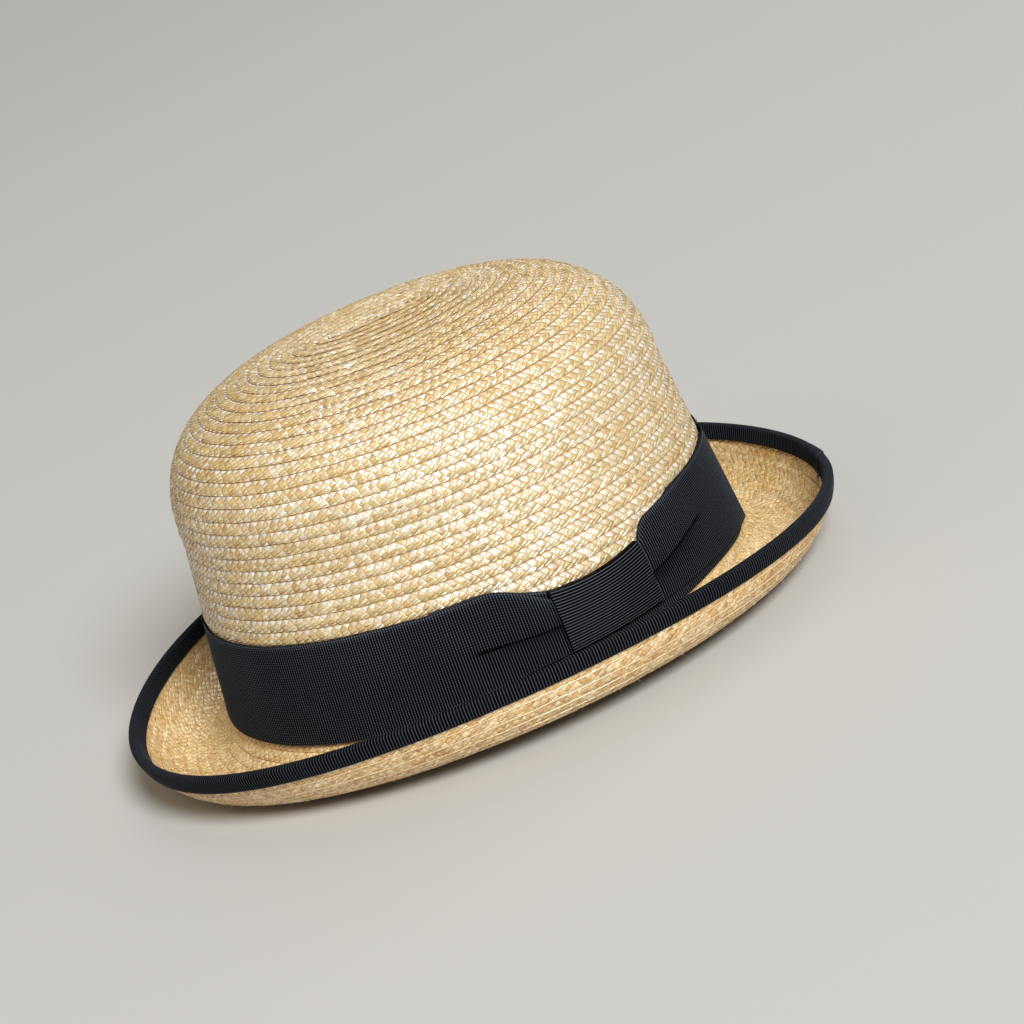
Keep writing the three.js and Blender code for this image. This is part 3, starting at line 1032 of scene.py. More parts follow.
@dataclass(frozen=True)
class Whiskers:
    """Loose straw ends along the plait's free edge. Ranges are in millimetres."""

    side: Side
    count: int
    inset: Range = (0.3, 2.0)
    ahead: Range = (1.0, 4.0)
    aside: Range = (0.2, 2.2)
    rise: Range = (0.5, 1.9)
    tone: Range = (0.4, 0.9)
    fibre: Fibre = Fibre(radius=0.09, sag=0.3, strip=0.985, strip_width=0.012)


@dataclass(frozen=True)
class Strips:
    """Where a stretch of plait lies on the flat layout: its first strip, and how many there are in all."""

    first: int
    total: int


@dataclass
class Lattice:
    """The points of one face of the plait, in lines from its tucked edge to its free edge."""

    tucked: Array
    shares: Array
    numbers: list[Array] = field(default_factory=list)
    spots: list[Array] = field(default_factory=list)


@dataclass(frozen=True)
class Corner:
    """The same corner of many triangles: point numbers, and places on the plait, layout and kernel."""

    numbers: Array
    spot: Array
    flat: Array
    bead: Array


class Winding:
    """One stretch of the plait, wound in a spiral over the hat's surface."""

    FINE = 720
    WOBBLE_RUN = 0.22
    WOBBLE_RUN_WAVES = (19.0, 47.0, 113.0)
    WOBBLE_LIFT = 0.06
    WOBBLE_LIFT_WAVES = (13.0, 37.0)
    LIFT_SEED, EDGE_SEED, SHADE_SEED, CLUSTER_SEED = 1, 3, 7, 11
    BAKE_START, BAKE_WIDTH = 0.004, 0.955
    STRIP_START, STRIP_HEIGHT = 0.02, 0.96
    ROW_SLACK = 1e-6
    SHADE_LENGTH, SHADE_SPREAD = 30, 7
    SHADE_COLUMNS, SHADE_SPARE = 16, 8
    CLUSTER_WAVES = (5.3, 9.1, 17.7)
    OWN_TONE, CLUSTER_TONE, LOOSE_TONE = 0.34, 0.38, 0.28
    OWN_GLOSS, CLUSTER_GLOSS, LOOSE_GLOSS = 0.3, 0.25, 0.45
    # The seams' low tone is painted shade in the gaps between rows.
    SEAM_TONE, SEAM_VARIETY, SEAM_GLOSS = 0.1, 0.35, -3.0
    CUT_TONE, CUT_GLOSS = 0.4, 0.3
    EDGE_RADIUS, EDGE_STEP, EDGE_SIDES = 0.2, 4.0, 4
    # The edge strand's pale tone is partly the strand's own and partly a painted highlight along the free
    # edge.
    EDGE_TONE, EDGE_VARIETY, EDGE_GLOSS = 0.85, 0.25, 0.7
    EDGE_WAVES = (23.0, 61.0)
    EDGE_STRIP, EDGE_STRIP_STEP = 1.003, 0.004
    SIDES = (
        (Way.BEFORE, Way.BELOW),
        (Way.BELOW, Way.AFTER),
        (Way.AFTER, Way.ABOVE),
        (Way.ABOVE, Way.BEFORE),
    )

    def __init__(self, form: HatForm, plait: Plait, start: float, stop: float, seed: int) -> None:
        """Lays out the lattice columns along the spiral.

        Args:
            form: The hat's surface.
            plait: The plait's sizes.
            start: Where the stretch starts, in turns from the tip.
            stop: Where it stops, in turns from the tip.
            seed: Number that fixes what varies.
        """
        self.form = form
        self.plait = plait
        self.rng = np.random.default_rng(seed)
        self.seed = seed
        self.start = start
        self.fine_turns = np.linspace(start, stop, int((stop - start) * self.FINE) + 2)
        middle = plait.pitch * (self.fine_turns + 0.5)
        self.fine_along = distances(form.surface(self.fine_turns * TURN, middle, 0.0))
        self.length = self.fine_along[-1]
        self.count = round(self.length / plait.column) + 1
        self.along = np.linspace(0.0, self.length, self.count)
        self.rows = int(math.ceil(stop - start)) + 1

    def turns_at(self, along: Array) -> Array:
        """Turns from the tip at places along the plait."""
        return np.interp(along, self.fine_along, self.fine_turns)

    def spot(self, along: Array, across: Array | float, lift: Array | float) -> Array:
        """A point on the plait.

        Args:
            along: Place along the plait.
            across: Place across the row.
            lift: Distance from the hat's surface.

        Returns:
            Points in millimetres, with the axes last.
        """
        turns = self.turns_at(along)
        run = self.plait.pitch * turns + across
        run = run + self.WOBBLE_RUN * ripple(along, self.WOBBLE_RUN_WAVES, self.seed)
        lift = lift + self.WOBBLE_LIFT * ripple(along, self.WOBBLE_LIFT_WAVES, self.seed + self.LIFT_SEED)
        return self.form.surface(turns * TURN, run, lift)

    def bake(self, along: Array, around: Array, strips: Strips) -> Array:
        """Places face corners on the flat layout, one strip for each turn.

        Args:
            along: Place of each corner along the plait.
            around: Place of each corner round the plait's cut.
            strips: The stretch's strips on the layout.

        Returns:
            Places from 0 to 1.
        """
        turns = self.turns_at(along) - self.start
        row = np.floor(turns.min(axis=1, keepdims=True) + self.ROW_SLACK)
        u = self.BAKE_START + self.BAKE_WIDTH * (turns - row)
        v = strips.first + row + self.STRIP_START + self.STRIP_HEIGHT * around / self.plait.loop
        return np.stack([u, v / strips.total], axis=-1)

    def tones(self, row: int, variety: float) -> tuple[Array, Array]:
        """Shade and gloss of the strand that shows at each column of a lattice line.

        Args:
            row: Number of the lattice line.
            variety: How far the shades differ.

        Returns:
            Shade and gloss, from 0 to 1.
        """
        columns = np.arange(self.count)
        lean = 1 if row % 2 == 0 else -1
        strand = ((columns + lean * row) // 2) % self.plait.ends
        shades = (self.plait.ends, self.count // self.SHADE_COLUMNS + self.SHADE_SPARE)
        table = np.random.default_rng(self.seed + self.SHADE_SEED).random(shades)
        own = table[strand, columns // (self.SHADE_LENGTH + self.SHADE_SPREAD * strand)]
        cluster_seed = self.seed + self.CLUSTER_SEED + row
        cluster = 0.5 + 0.5 * ripple(columns * 1.0, self.CLUSTER_WAVES, cluster_seed)
        loose = self.rng.random(self.count)
        tone = self.OWN_TONE * own + self.CLUSTER_TONE * cluster + self.LOOSE_TONE * loose
        tone = clamp01((tone - 0.5) * variety + 0.5)
        gloss = self.LOOSE_GLOSS * self.rng.random(self.count)
        return tone, gloss + self.OWN_GLOSS * own + self.CLUSTER_GLOSS * cluster

    def weave(self, skin: Skin, kinds: tuple[Weave, Weave], strips: Strips) -> None:
        """Weaves the stretch as a closed flat tube.

        Args:
            skin: Takes the points and faces.
            kinds: How the outer and the inner face are woven.
            strips: The stretch's strips on the layout.
        """
        faces = [self._face(skin, kind, strips) for kind in kinds]
        half = self.plait.loop / 2
        for index, (here, there) in enumerate((faces, faces[::-1])):
            span = (index * half + self.plait.pitch, (index + 1) * half)
            self._seam(skin, here[-1], there[0], span, strips)
        for column in (0, -1):
            ring = np.array([[line[column] for face in faces for line in face]])
            if column == 0:
                ring = ring[:, ::-1]
            flat = np.zeros((*ring.shape, 2))
            flat[..., 1] = (strips.first + self.rows - 0.5) / strips.total
            skin.add_faces(ring, flat, np.zeros_like(flat), self.CUT_TONE, self.CUT_GLOSS)

    def _seam(self, skin: Skin, upper: Array, lower: Array, span: Range, strips: Strips) -> None:
        """Adds plain faces between two lines of points that run along the plait, toned dark as painted shade
        in the gaps between rows.

        Args:
            skin: Takes the points and faces.
            upper: Point numbers of the first line.
            lower: Point numbers of the second line.
            span: Places of the two lines round the plait's cut.
            strips: The stretch's strips on the layout.
        """
        corners = strip_corners(upper, lower, flipped=True)
        along = strip_corners(self.along, self.along, flipped=True)
        start, stop = span
        around = np.broadcast_to(np.array([start, stop, stop, start]), along.shape)
        tone = self.SEAM_TONE + self.SEAM_VARIETY * self.rng.random(len(corners))
        place = self.bake(along, around, strips)
        skin.add_faces(corners, place, np.stack([along, around], axis=-1), tone, self.SEAM_GLOSS)

    def add_edge_strand(self, skin: Skin, side: Side, strips: Strips) -> None:
        """Adds the pale strand that runs along the free edge; its pale tone is partly its own and partly a
        painted highlight.

        Args:
            skin: Takes the points and faces.
            side: The face it lies on.
            strips: The stretch's strips on the layout.
        """
        sign, radius, sides = side.value, self.EDGE_RADIUS, self.EDGE_SIDES
        along = np.linspace(0.0, self.length, int(self.length / self.EDGE_STEP) + 2)
        across = self.plait.free_edge(side) - sign * radius
        lift = self.plait.level(side, across) + sign * radius / 2
        rings: list[Array] = []
        for turn in TURN * (np.arange(sides) + 0.5) / sides:
            points = self.spot(along, across + radius * math.cos(turn), lift + radius * math.sin(turn))
            rings.append(skin.add_points(points, 0.0, True))
        wobble = ripple(along[1:], self.EDGE_WAVES, self.seed + self.EDGE_SEED)
        tone = self.EDGE_TONE + self.EDGE_VARIETY * wobble
        x = strip_corners(along, along)
        for k, here in enumerate(rings):
            corners = strip_corners(here, rings[(k + 1) % sides])
            around = self.EDGE_STRIP + self.EDGE_STRIP_STEP * np.array([k, k, k + 1, k + 1])
            y = np.broadcast_to(self.plait.loop * around, x.shape)
            place = self.bake(x, y, strips)
            skin.add_faces(corners, place, np.stack([x, y], axis=-1), tone, self.EDGE_GLOSS)

    def add_whiskers(self, skin: Skin, whiskers: Whiskers, span: Range) -> None:
        """Adds loose straw ends along the free edge.

        Args:
            skin: Takes the points and faces.
            whiskers: Their sizes.
            span: The first and the last turn, from the tip, that have them.
        """
        side, count = whiskers.side, whiskers.count
        sign = side.value
        along = self.rng.uniform(*np.interp(span, self.fine_turns, self.fine_along), count)
        across = self.plait.free_edge(side) - sign * self.rng.uniform(*whiskers.inset, count)
        lift = self.plait.level(side, across)
        ahead = self.rng.choice([-1.0, 1.0], count) * self.rng.uniform(*whiskers.ahead, count)
        aside = sign * self.rng.uniform(*whiskers.aside, count)
        rise = sign * self.rng.uniform(*whiskers.rise, count)
        roots = self.spot(along, across, lift)
        tips = self.spot(along + ahead, across + aside, lift + rise)
        whiskers.fibre.add_to(skin, roots, tips, self.rng.uniform(*whiskers.tone, count))

    def _face(self, skin: Skin, kind: Weave, strips: Strips) -> list[Array]:
        """Weaves one face of the plait.

        Args:
            skin: Takes the points and faces.
            kind: Which face, and how finely.
            strips: The stretch's strips on the layout.

        Returns:
            The point numbers of its lines, from the tucked edge to the free edge.
        """
        lattice = self._lay_lattice(skin, kind)
        for row in range(kind.rows + 1):
            self._add_kernels(skin, kind, lattice, row, strips)
        return lattice.numbers

    def _tucked_edge(self, kind: Weave) -> Array:
        """Where a face's tucked edge lies.

        Args:
            kind: Which face, and how finely it is woven.

        Returns:
            Places across the row, one for each column.
        """
        plait = self.plait
        turns = self.turns_at(self.along)
        first, last = plait.tight_turns
        gap = kind.gap * (1.0 + plait.gap_swing * np.cos(turns * TURN - math.radians(plait.widest_at)))
        gap = gap * mix(plait.tight_gap, 1.0, smooth((turns - first) / (last - first)))
        return gap if kind.side is Side.OUTER else plait.pitch - gap

    def _lay_lattice(self, skin: Skin, kind: Weave) -> Lattice:
        """Lays the points of one face: kernel middles and the crossings between them take turns.

        Args:
            skin: Takes the points.
            kind: Which face, and how finely.

        Returns:
            The lattice.
        """
        plait, sign = self.plait, kind.side.value
        free = plait.free_edge(kind.side)
        lattice = Lattice(self._tucked_edge(kind), plait.along_rows(plait.across, kind.rows))
        leans, bumps, dips, hollows = (
            plait.along_rows(table, kind.rows) for table in (plait.lean, plait.bump, plait.dip, plait.hollow)
        )
        limit = plait.jitter_limit * plait.jitter
        for row, share in enumerate(lattice.shares):
            centre = (np.arange(self.count) + row) % 2 == 0
            shake = np.clip(self.rng.normal(0.0, plait.jitter, (2, self.count)), -limit, limit)
            sway = shake[0] * (0.0 if row in (0, kind.rows) else 1.0)
            # Painted shade: the hollow mark darkens the crossings and the tucked edge.
            hollow = kind.hollow * np.where(centre, plait.tucked_hollow if row == 0 else 0.0, hollows[row])
            if row == kind.rows:
                sway = np.where(centre, plait.scallop, -plait.scallop / 2)
                # Painted shade along the inner face's free edge.
                if kind.side is Side.INNER:
                    hollow = np.full(self.count, kind.hollow)
            across = mix(lattice.tucked, free, share)
            place = across + sign * sway
            along = self.along + leans[row] + shake[1]
            relief = np.where(centre, bumps[row], -dips[row])
            swell = kind.arch * math.sin(math.pi * share)
            lift = plait.level(kind.side, across) + sign * (swell + relief + plait.jitter_lift * shake[0])
            points = self.spot(along, place, lift)
            numbers = np.empty(self.count, int)
            for chosen, soft in ((centre, row < kind.rows), (~centre, False)):
                numbers[chosen] = skin.add_points(points[chosen], hollow[chosen], soft)
            lattice.numbers.append(numbers)
            lattice.spots.append(np.stack([along, place, lift], axis=-1))
        return lattice

    def _add_kernels(self, skin: Skin, kind: Weave, lattice: Lattice, row: int, strips: Strips) -> None:
        """Adds the kernels whose middles lie on one line of the lattice, a quarter at a time.

        Args:
            skin: Takes the points and faces.
            kind: Which face, and how finely.
            lattice: The face's points.
            row: Number of the line.
            strips: The stretch's strips on the layout.
        """
        plait = self.plait
        tone, gloss = self.tones(row, kind.variety)
        gloss = gloss + plait.along_rows(plait.lustre, kind.rows)[row]
        rising = row % 2 == 0
        turned = plait.streak_turn if rising else -plait.streak_turn
        cos, sin = math.cos(turned), math.sin(turned)
        for ways in self.SIDES:
            steps = ((0, 0), ways[0].value, ways[1].value)
            if any(not 0 <= row + line <= kind.rows for _, line in steps):
                continue
            low = max(-column for column, _ in steps)
            high = self.count - max(column for column, _ in steps)
            middle = np.arange(low, high)
            middle = middle[(middle + row) % 2 == 0]
            centre, a, b = (
                self._corner(kind, lattice, row + line, middle + column, (column, line))
                for column, line in steps
            )
            lower = Way.BELOW in ways
            # Painted light and shade on the kernel's lower or upper half.
            pallor = plait.lower_painted_light if lower else plait.upper_painted_shade
            shade = tone[middle] + kind.pallor + plait.along_rows(pallor, kind.rows)[row]
            over = row == 0 or ((ways[0] in (Way.BELOW, Way.ABOVE)) == rising and (row > 1 or lower))
            triangles = ((centre, a, b),)
            if kind.stepped and over:
                top = self._add_ridge(skin, kind, lattice.tucked[middle], (centre, a, b))
                triangles = ((centre, a, top), (centre, top, b), (a, b, top))
            shift = tone[middle] * plait.streak_shift + middle * plait.streak_step
            for triangle in triangles:
                flat = np.stack([corner.flat for corner in triangle], axis=1)
                local = np.stack([corner.spot for corner in triangle], axis=1) - centre.spot[:, None]
                x, y = local[..., 0], local[..., 1]
                strand = np.stack([cos * x - sin * y, sin * x + cos * y], axis=-1) + shift[:, None, None]
                skin.add_faces(
                    np.stack([corner.numbers for corner in triangle], axis=1),
                    self.bake(flat[..., 0], flat[..., 1], strips),
                    strand,
                    shade,
                    gloss[middle],
                    np.array([corner.bead for corner in triangle]),
                )

    def _corner(
        self, kind: Weave, lattice: Lattice, row: int, columns: Array, bead: tuple[int, int]
    ) -> Corner:
        """Reads one corner of many triangles.

        Args:
            kind: Which face, and how finely it is woven.
            lattice: The face's points.
            row: Number of the line that the corner lies on.
            columns: Its column in each triangle.
            bead: Its step from the kernel's middle.

        Returns:
            The corner.
        """
        shift = 0.0 if kind.side is Side.OUTER else self.plait.loop / 2
        around = np.full(len(columns), self.plait.pitch * lattice.shares[row] + shift)
        flat = np.stack([self.along[columns], around], axis=-1)
        return Corner(lattice.numbers[row][columns], lattice.spots[row][columns], flat, np.array(bead, float))

    def _add_ridge(
        self, skin: Skin, kind: Weave, tucked: Array, corners: tuple[Corner, Corner, Corner]
    ) -> Corner:
        """Adds the points at which a strand stands proud of the one that it crosses.

        Args:
            skin: Takes the points.
            kind: Which face, and how finely.
            tucked: Where the tucked edge lies across the row.
            corners: The kernel's middle, and the two tips that the strand's edge joins.

        Returns:
            The ridge's points.
        """
        plait, sign = self.plait, kind.side.value
        centre, a, b = corners
        edge = (a.spot + b.spot) / 2
        arm = edge - centre.spot
        out = edge + plait.overhang * arm / np.linalg.norm(arm, axis=1, keepdims=True)
        tilt = self.rng.normal(0.0, plait.ridge_tilt, len(edge))
        share = (edge[:, 1] - tucked) / (plait.free_edge(kind.side) - tucked)
        swell = kind.arch * np.sin(math.pi * clamp01(share))
        lift = plait.level(kind.side, edge[:, 1]) + sign * (swell + plait.ridge + tilt)
        numbers = skin.add_points(self.spot(out[:, 0], out[:, 1], lift), plait.ridge_hollow, False)
        spot = np.stack([edge[:, 0], edge[:, 1], lift], axis=-1)
        return Corner(numbers, spot, (a.flat + b.flat) / 2, plait.ridge_bead * (a.bead + b.bead))


@dataclass
class Straw:
    """The crown and the brim: one plait sewn round from the tip, parted at the head line."""

    form: HatForm
    plait: Plait = Plait()
    brim_plait: Plait = Plait(
        thickness=0.8, step=0.4, proud=-0.35, gap_swing=0.0,
        bump=(0.0, 0.03, 0.08, 0.04), dip=(0.06, -0.04, 0.06, 0.04),
        upper_painted_shade=(0.0, -0.06, 0.0, 0.0), lower_painted_light=(0.08, 0.0, 0.0, 0.0),
    )
    crown_outside: Weave = Weave(
        Side.OUTER, rows=3, stepped=True, arch=0.3, gap=0.6, hollow=1.0, variety=1.1
    )
    foot_outside: Weave = Weave(
        Side.OUTER, rows=1, stepped=False, arch=0.0, gap=0.65, hollow=1.0, variety=1.2
    )
    crown_inside: Weave = Weave(
        Side.INNER, rows=2, stepped=False, arch=0.1, gap=0.2, hollow=1.0, variety=1.2
    )
    brim_outside: Weave = Weave(
        Side.OUTER, rows=3, stepped=True, arch=0.12, gap=0.4, hollow=0.62, variety=0.5
    )
    # The inside's lower pallor is painted shade under the brim.
    brim_inside: Weave = Weave(
        Side.INNER, rows=4, stepped=True, arch=0.3, gap=0.3, hollow=1.0, variety=2.1, pallor=-0.2
    )
    crown_whiskers: Whiskers = Whiskers(Side.OUTER, count=150)
    brim_whiskers: Whiskers = Whiskers(Side.INNER, count=260)
    whisker_turn: float = 1.0
    whisker_height: float = 42.0
    brim_whisker_turns: Range = (8.0, 1.5)
    crown_seed: int = 11
    foot_seed: int = 23
    brim_seed: int = 37
    first_turn: float = -0.8
    hidden_height: float = 22.0
    parting_height: float = 3.2
    joint_lap: float = 0.006
    edge_inset: float = 1.4
    floor_gap: float = 0.02

    def turn_at(self, run: float) -> float:
        """Turns from the tip at which the row's free edge reaches a run."""
        return run / self.plait.pitch - 1.0

    def turn_at_height(self, height: float) -> float:
        """Turns from the tip at which the row's free edge reaches a height above the head line."""
        return self.turn_at(self.form.run_at(height))

    def build_crown(self, finish: bpy.types.Material) -> bpy.types.Object:
        """Weaves the crown, plainer where the band hides it.

        Args:
            finish: Its material.

        Returns:
            The piece.
        """
        shown = self.turn_at_height(self.hidden_height)
        parting = self.turn_at_height(self.parting_height)
        skin = Skin()
        upper = Winding(self.form, self.plait, self.first_turn, shown, self.crown_seed)
        lower = Winding(self.form, self.plait, shown - self.joint_lap, parting, self.foot_seed)
        rows = upper.rows + lower.rows
        upper.weave(skin, (self.crown_outside, self.crown_inside), Strips(0, rows))
        lower.weave(skin, (self.foot_outside, self.crown_inside), Strips(upper.rows, rows))
        span = (self.whisker_turn, self.turn_at_height(self.whisker_height))
        upper.add_whiskers(skin, self.crown_whiskers, span)
        return seat(skin.build("crown_plait", finish), Node.CROWN)

    def build_brim(self, finish: bpy.types.Material) -> bpy.types.Object:
        """Weaves the brim and keeps it above the floor.

        Args:
            finish: Its material.

        Returns:
            The piece.
        """
        parting = self.turn_at_height(self.parting_height)
        edge = self.turn_at(self.form.crown_run + self.form.end.width - self.edge_inset)
        skin = Skin()
        winding = Winding(self.form, self.brim_plait, parting - self.joint_lap, edge, self.brim_seed)
        strips = Strips(0, winding.rows)
        winding.weave(skin, (self.brim_outside, self.brim_inside), strips)
        winding.add_edge_strand(skin, Side.INNER, strips)
        first, last = self.brim_whisker_turns
        winding.add_whiskers(skin, self.brim_whiskers, (edge - first, edge - last))
        for points in skin.points:
            points[:, 2] = np.maximum(points[:, 2], self.floor_gap)
        return seat(skin.build("brim_plait", finish), Node.BRIM)


class Loft:
    """A closed strip of ribbon: lines along it run up its face and down its back."""

    SLACK = 0.05
    BAKE_START, BAKE_WIDTH = 0.005, 0.99
    END_PLACE = 0.001
    TONE, GLOSS = 0.5, 0.5

    def __init__(self, along: Array, level_ribs: bool = False) -> None:
        """Starts the strip.

        Args:
            along: Place of each point of a line along the ribbon, in millimetres.
            level_ribs: Whether the ribs run along the lines.
        """
        self.along = along
        self.level_ribs = level_ribs
        self.lines: list[Array] = []
        self.hollows: list[Array] = []

    def add_line(self, points: Array, hollow: Array | float) -> None:
        """Adds the next line of points, with how deep each lies in a groove, which the finish paints as
        shade.
        """
        self.lines.append(points)
        self.hollows.append(np.broadcast_to(hollow, len(points)))

    def add_to(self, skin: Skin, closed: bool) -> None:
        """Adds the strip's faces.

        Args:
            skin: Takes the points and faces.
            closed: Whether the ribbon runs round into its own start.
        """
        numbers = [skin.add_points(line, hollow, True) for line, hollow in zip(self.lines, self.hollows)]
        gaps = [np.linalg.norm(a - b, axis=1).max() + self.SLACK for a, b in zip(self.lines, self.lines[1:])]
        last_gap = np.linalg.norm(self.lines[-1][0] - self.lines[0][0])
        arounds = np.concatenate([[0.0], np.cumsum([*gaps, last_gap])])
        along = self.along
        if closed:
            numbers = [np.append(line, line[0]) for line in numbers]
            along = np.append(along, along[-1] + (along[-1] - along[-2]))
        x = strip_corners(along, along)
        for index, here in enumerate(numbers):
            corners = strip_corners(here, numbers[(index + 1) % len(numbers)])
            low, high = arounds[index : index + 2]
            y = np.broadcast_to(np.array([low, low, high, high]), x.shape)
            shares = np.stack([x / along[-1], y / arounds[-1]], axis=-1)
            strand = np.stack([y, x] if self.level_ribs else [x, y], axis=-1)
            skin.add_faces(corners, self.BAKE_START + self.BAKE_WIDTH * shares, strand, self.TONE, self.GLOSS)
        if not closed:
            self._add_ends(skin, numbers)

    def _add_ends(self, skin: Skin, numbers: list[Array]) -> None:
        """Closes the two cut ends.

        Args:
            skin: Takes the faces.
            numbers: Point numbers of the lines.
        """
        for column in (0, -1):
            ring = np.array([[line[column] for line in numbers]])
            if column == -1:
                ring = ring[:, ::-1]
            place = np.full((*ring.shape, 2), self.END_PLACE)
            skin.add_faces(ring, place, np.zeros_like(place), self.TONE, self.GLOSS)


@dataclass(frozen=True)
class Ribbing:
    """The ribs of a grosgrain ribbon."""

    pitch: float
    height: float
    profile: tuple[float, ...] = (0.0, 0.5, 1.0, 0.5)

    def columns(self, length: float) -> tuple[Array, Array]:
        """Places along a ribbon and the ribs' share of their height there.

        Args:
            length: The ribbon's length.

        Returns:
            Places from 0 to 1, and shares from 0 in a groove to 1 on a crest.
        """
        count = max(2, round(length / self.pitch))
        steps = count * len(self.profile)
        places = np.arange(steps + 1) / steps
        return places, np.resize(np.array(self.profile), steps + 1)


@dataclass(frozen=True)
class PinchedEnd:
    """How one end of the band is drawn in under the knot. Runs are in degrees."""

    top_drop: float
    top_run: float
    top_power: float
    ease: float
    ease_run: float
    foot_lift: float
    foot_run: float
    pleat_at: float
    pleat_rise: float
    pleat_run: float
    pleat_depth: float
    pleat_lip: float
    # Painted shade on the panel under the pleat's fold.
    pleat_painted_shade: float


@dataclass(frozen=True)
class UnderlayEnd:
    """How one end of the underlay shows beside the knot. Runs are in degrees."""

    reach: float
    top_drop: float
    top_run: float
    top_tuck: float
    foot_lift: float
    foot_run: float


@dataclass(frozen=True)
class SelvageLine:
    """One line of the band's woven edge: how far in, its share of the pleat's depth, and its dip."""

    inset: float
    depth: float
    dip: float


@dataclass(frozen=True)
class Stretch:
    """A length of ribbed ribbon round the crown. Its arrays have a value for each column of points."""

    length: float
    shares: Array
    rib: Array
    degrees: Array
    behind: Array
    away: Array

    @property
    def along(self) -> Array:
        """Places along the ribbon, in millimetres."""
        return self.shares * self.length

    @property
    def angle(self) -> Array:
        """Angles in radians."""
        return np.radians(self.degrees)

    @property
    def held(self) -> Array:
        """Degrees from the knot's edge, and 0 under the knot."""
        return np.maximum(self.away, 0.0)

    def pick(self, back: object, front: object, name: str) -> Array:
        """Takes one size of whichever end lies on each side of the knot."""
        return np.where(self.behind, getattr(back, name), getattr(front, name))


def fading(away: Array, run: Array | float, power: Array | float) -> Array:
    """Falls from 1 at the knot to 0 after a run."""
    return (1.0 - clamp01(away / run)) ** power


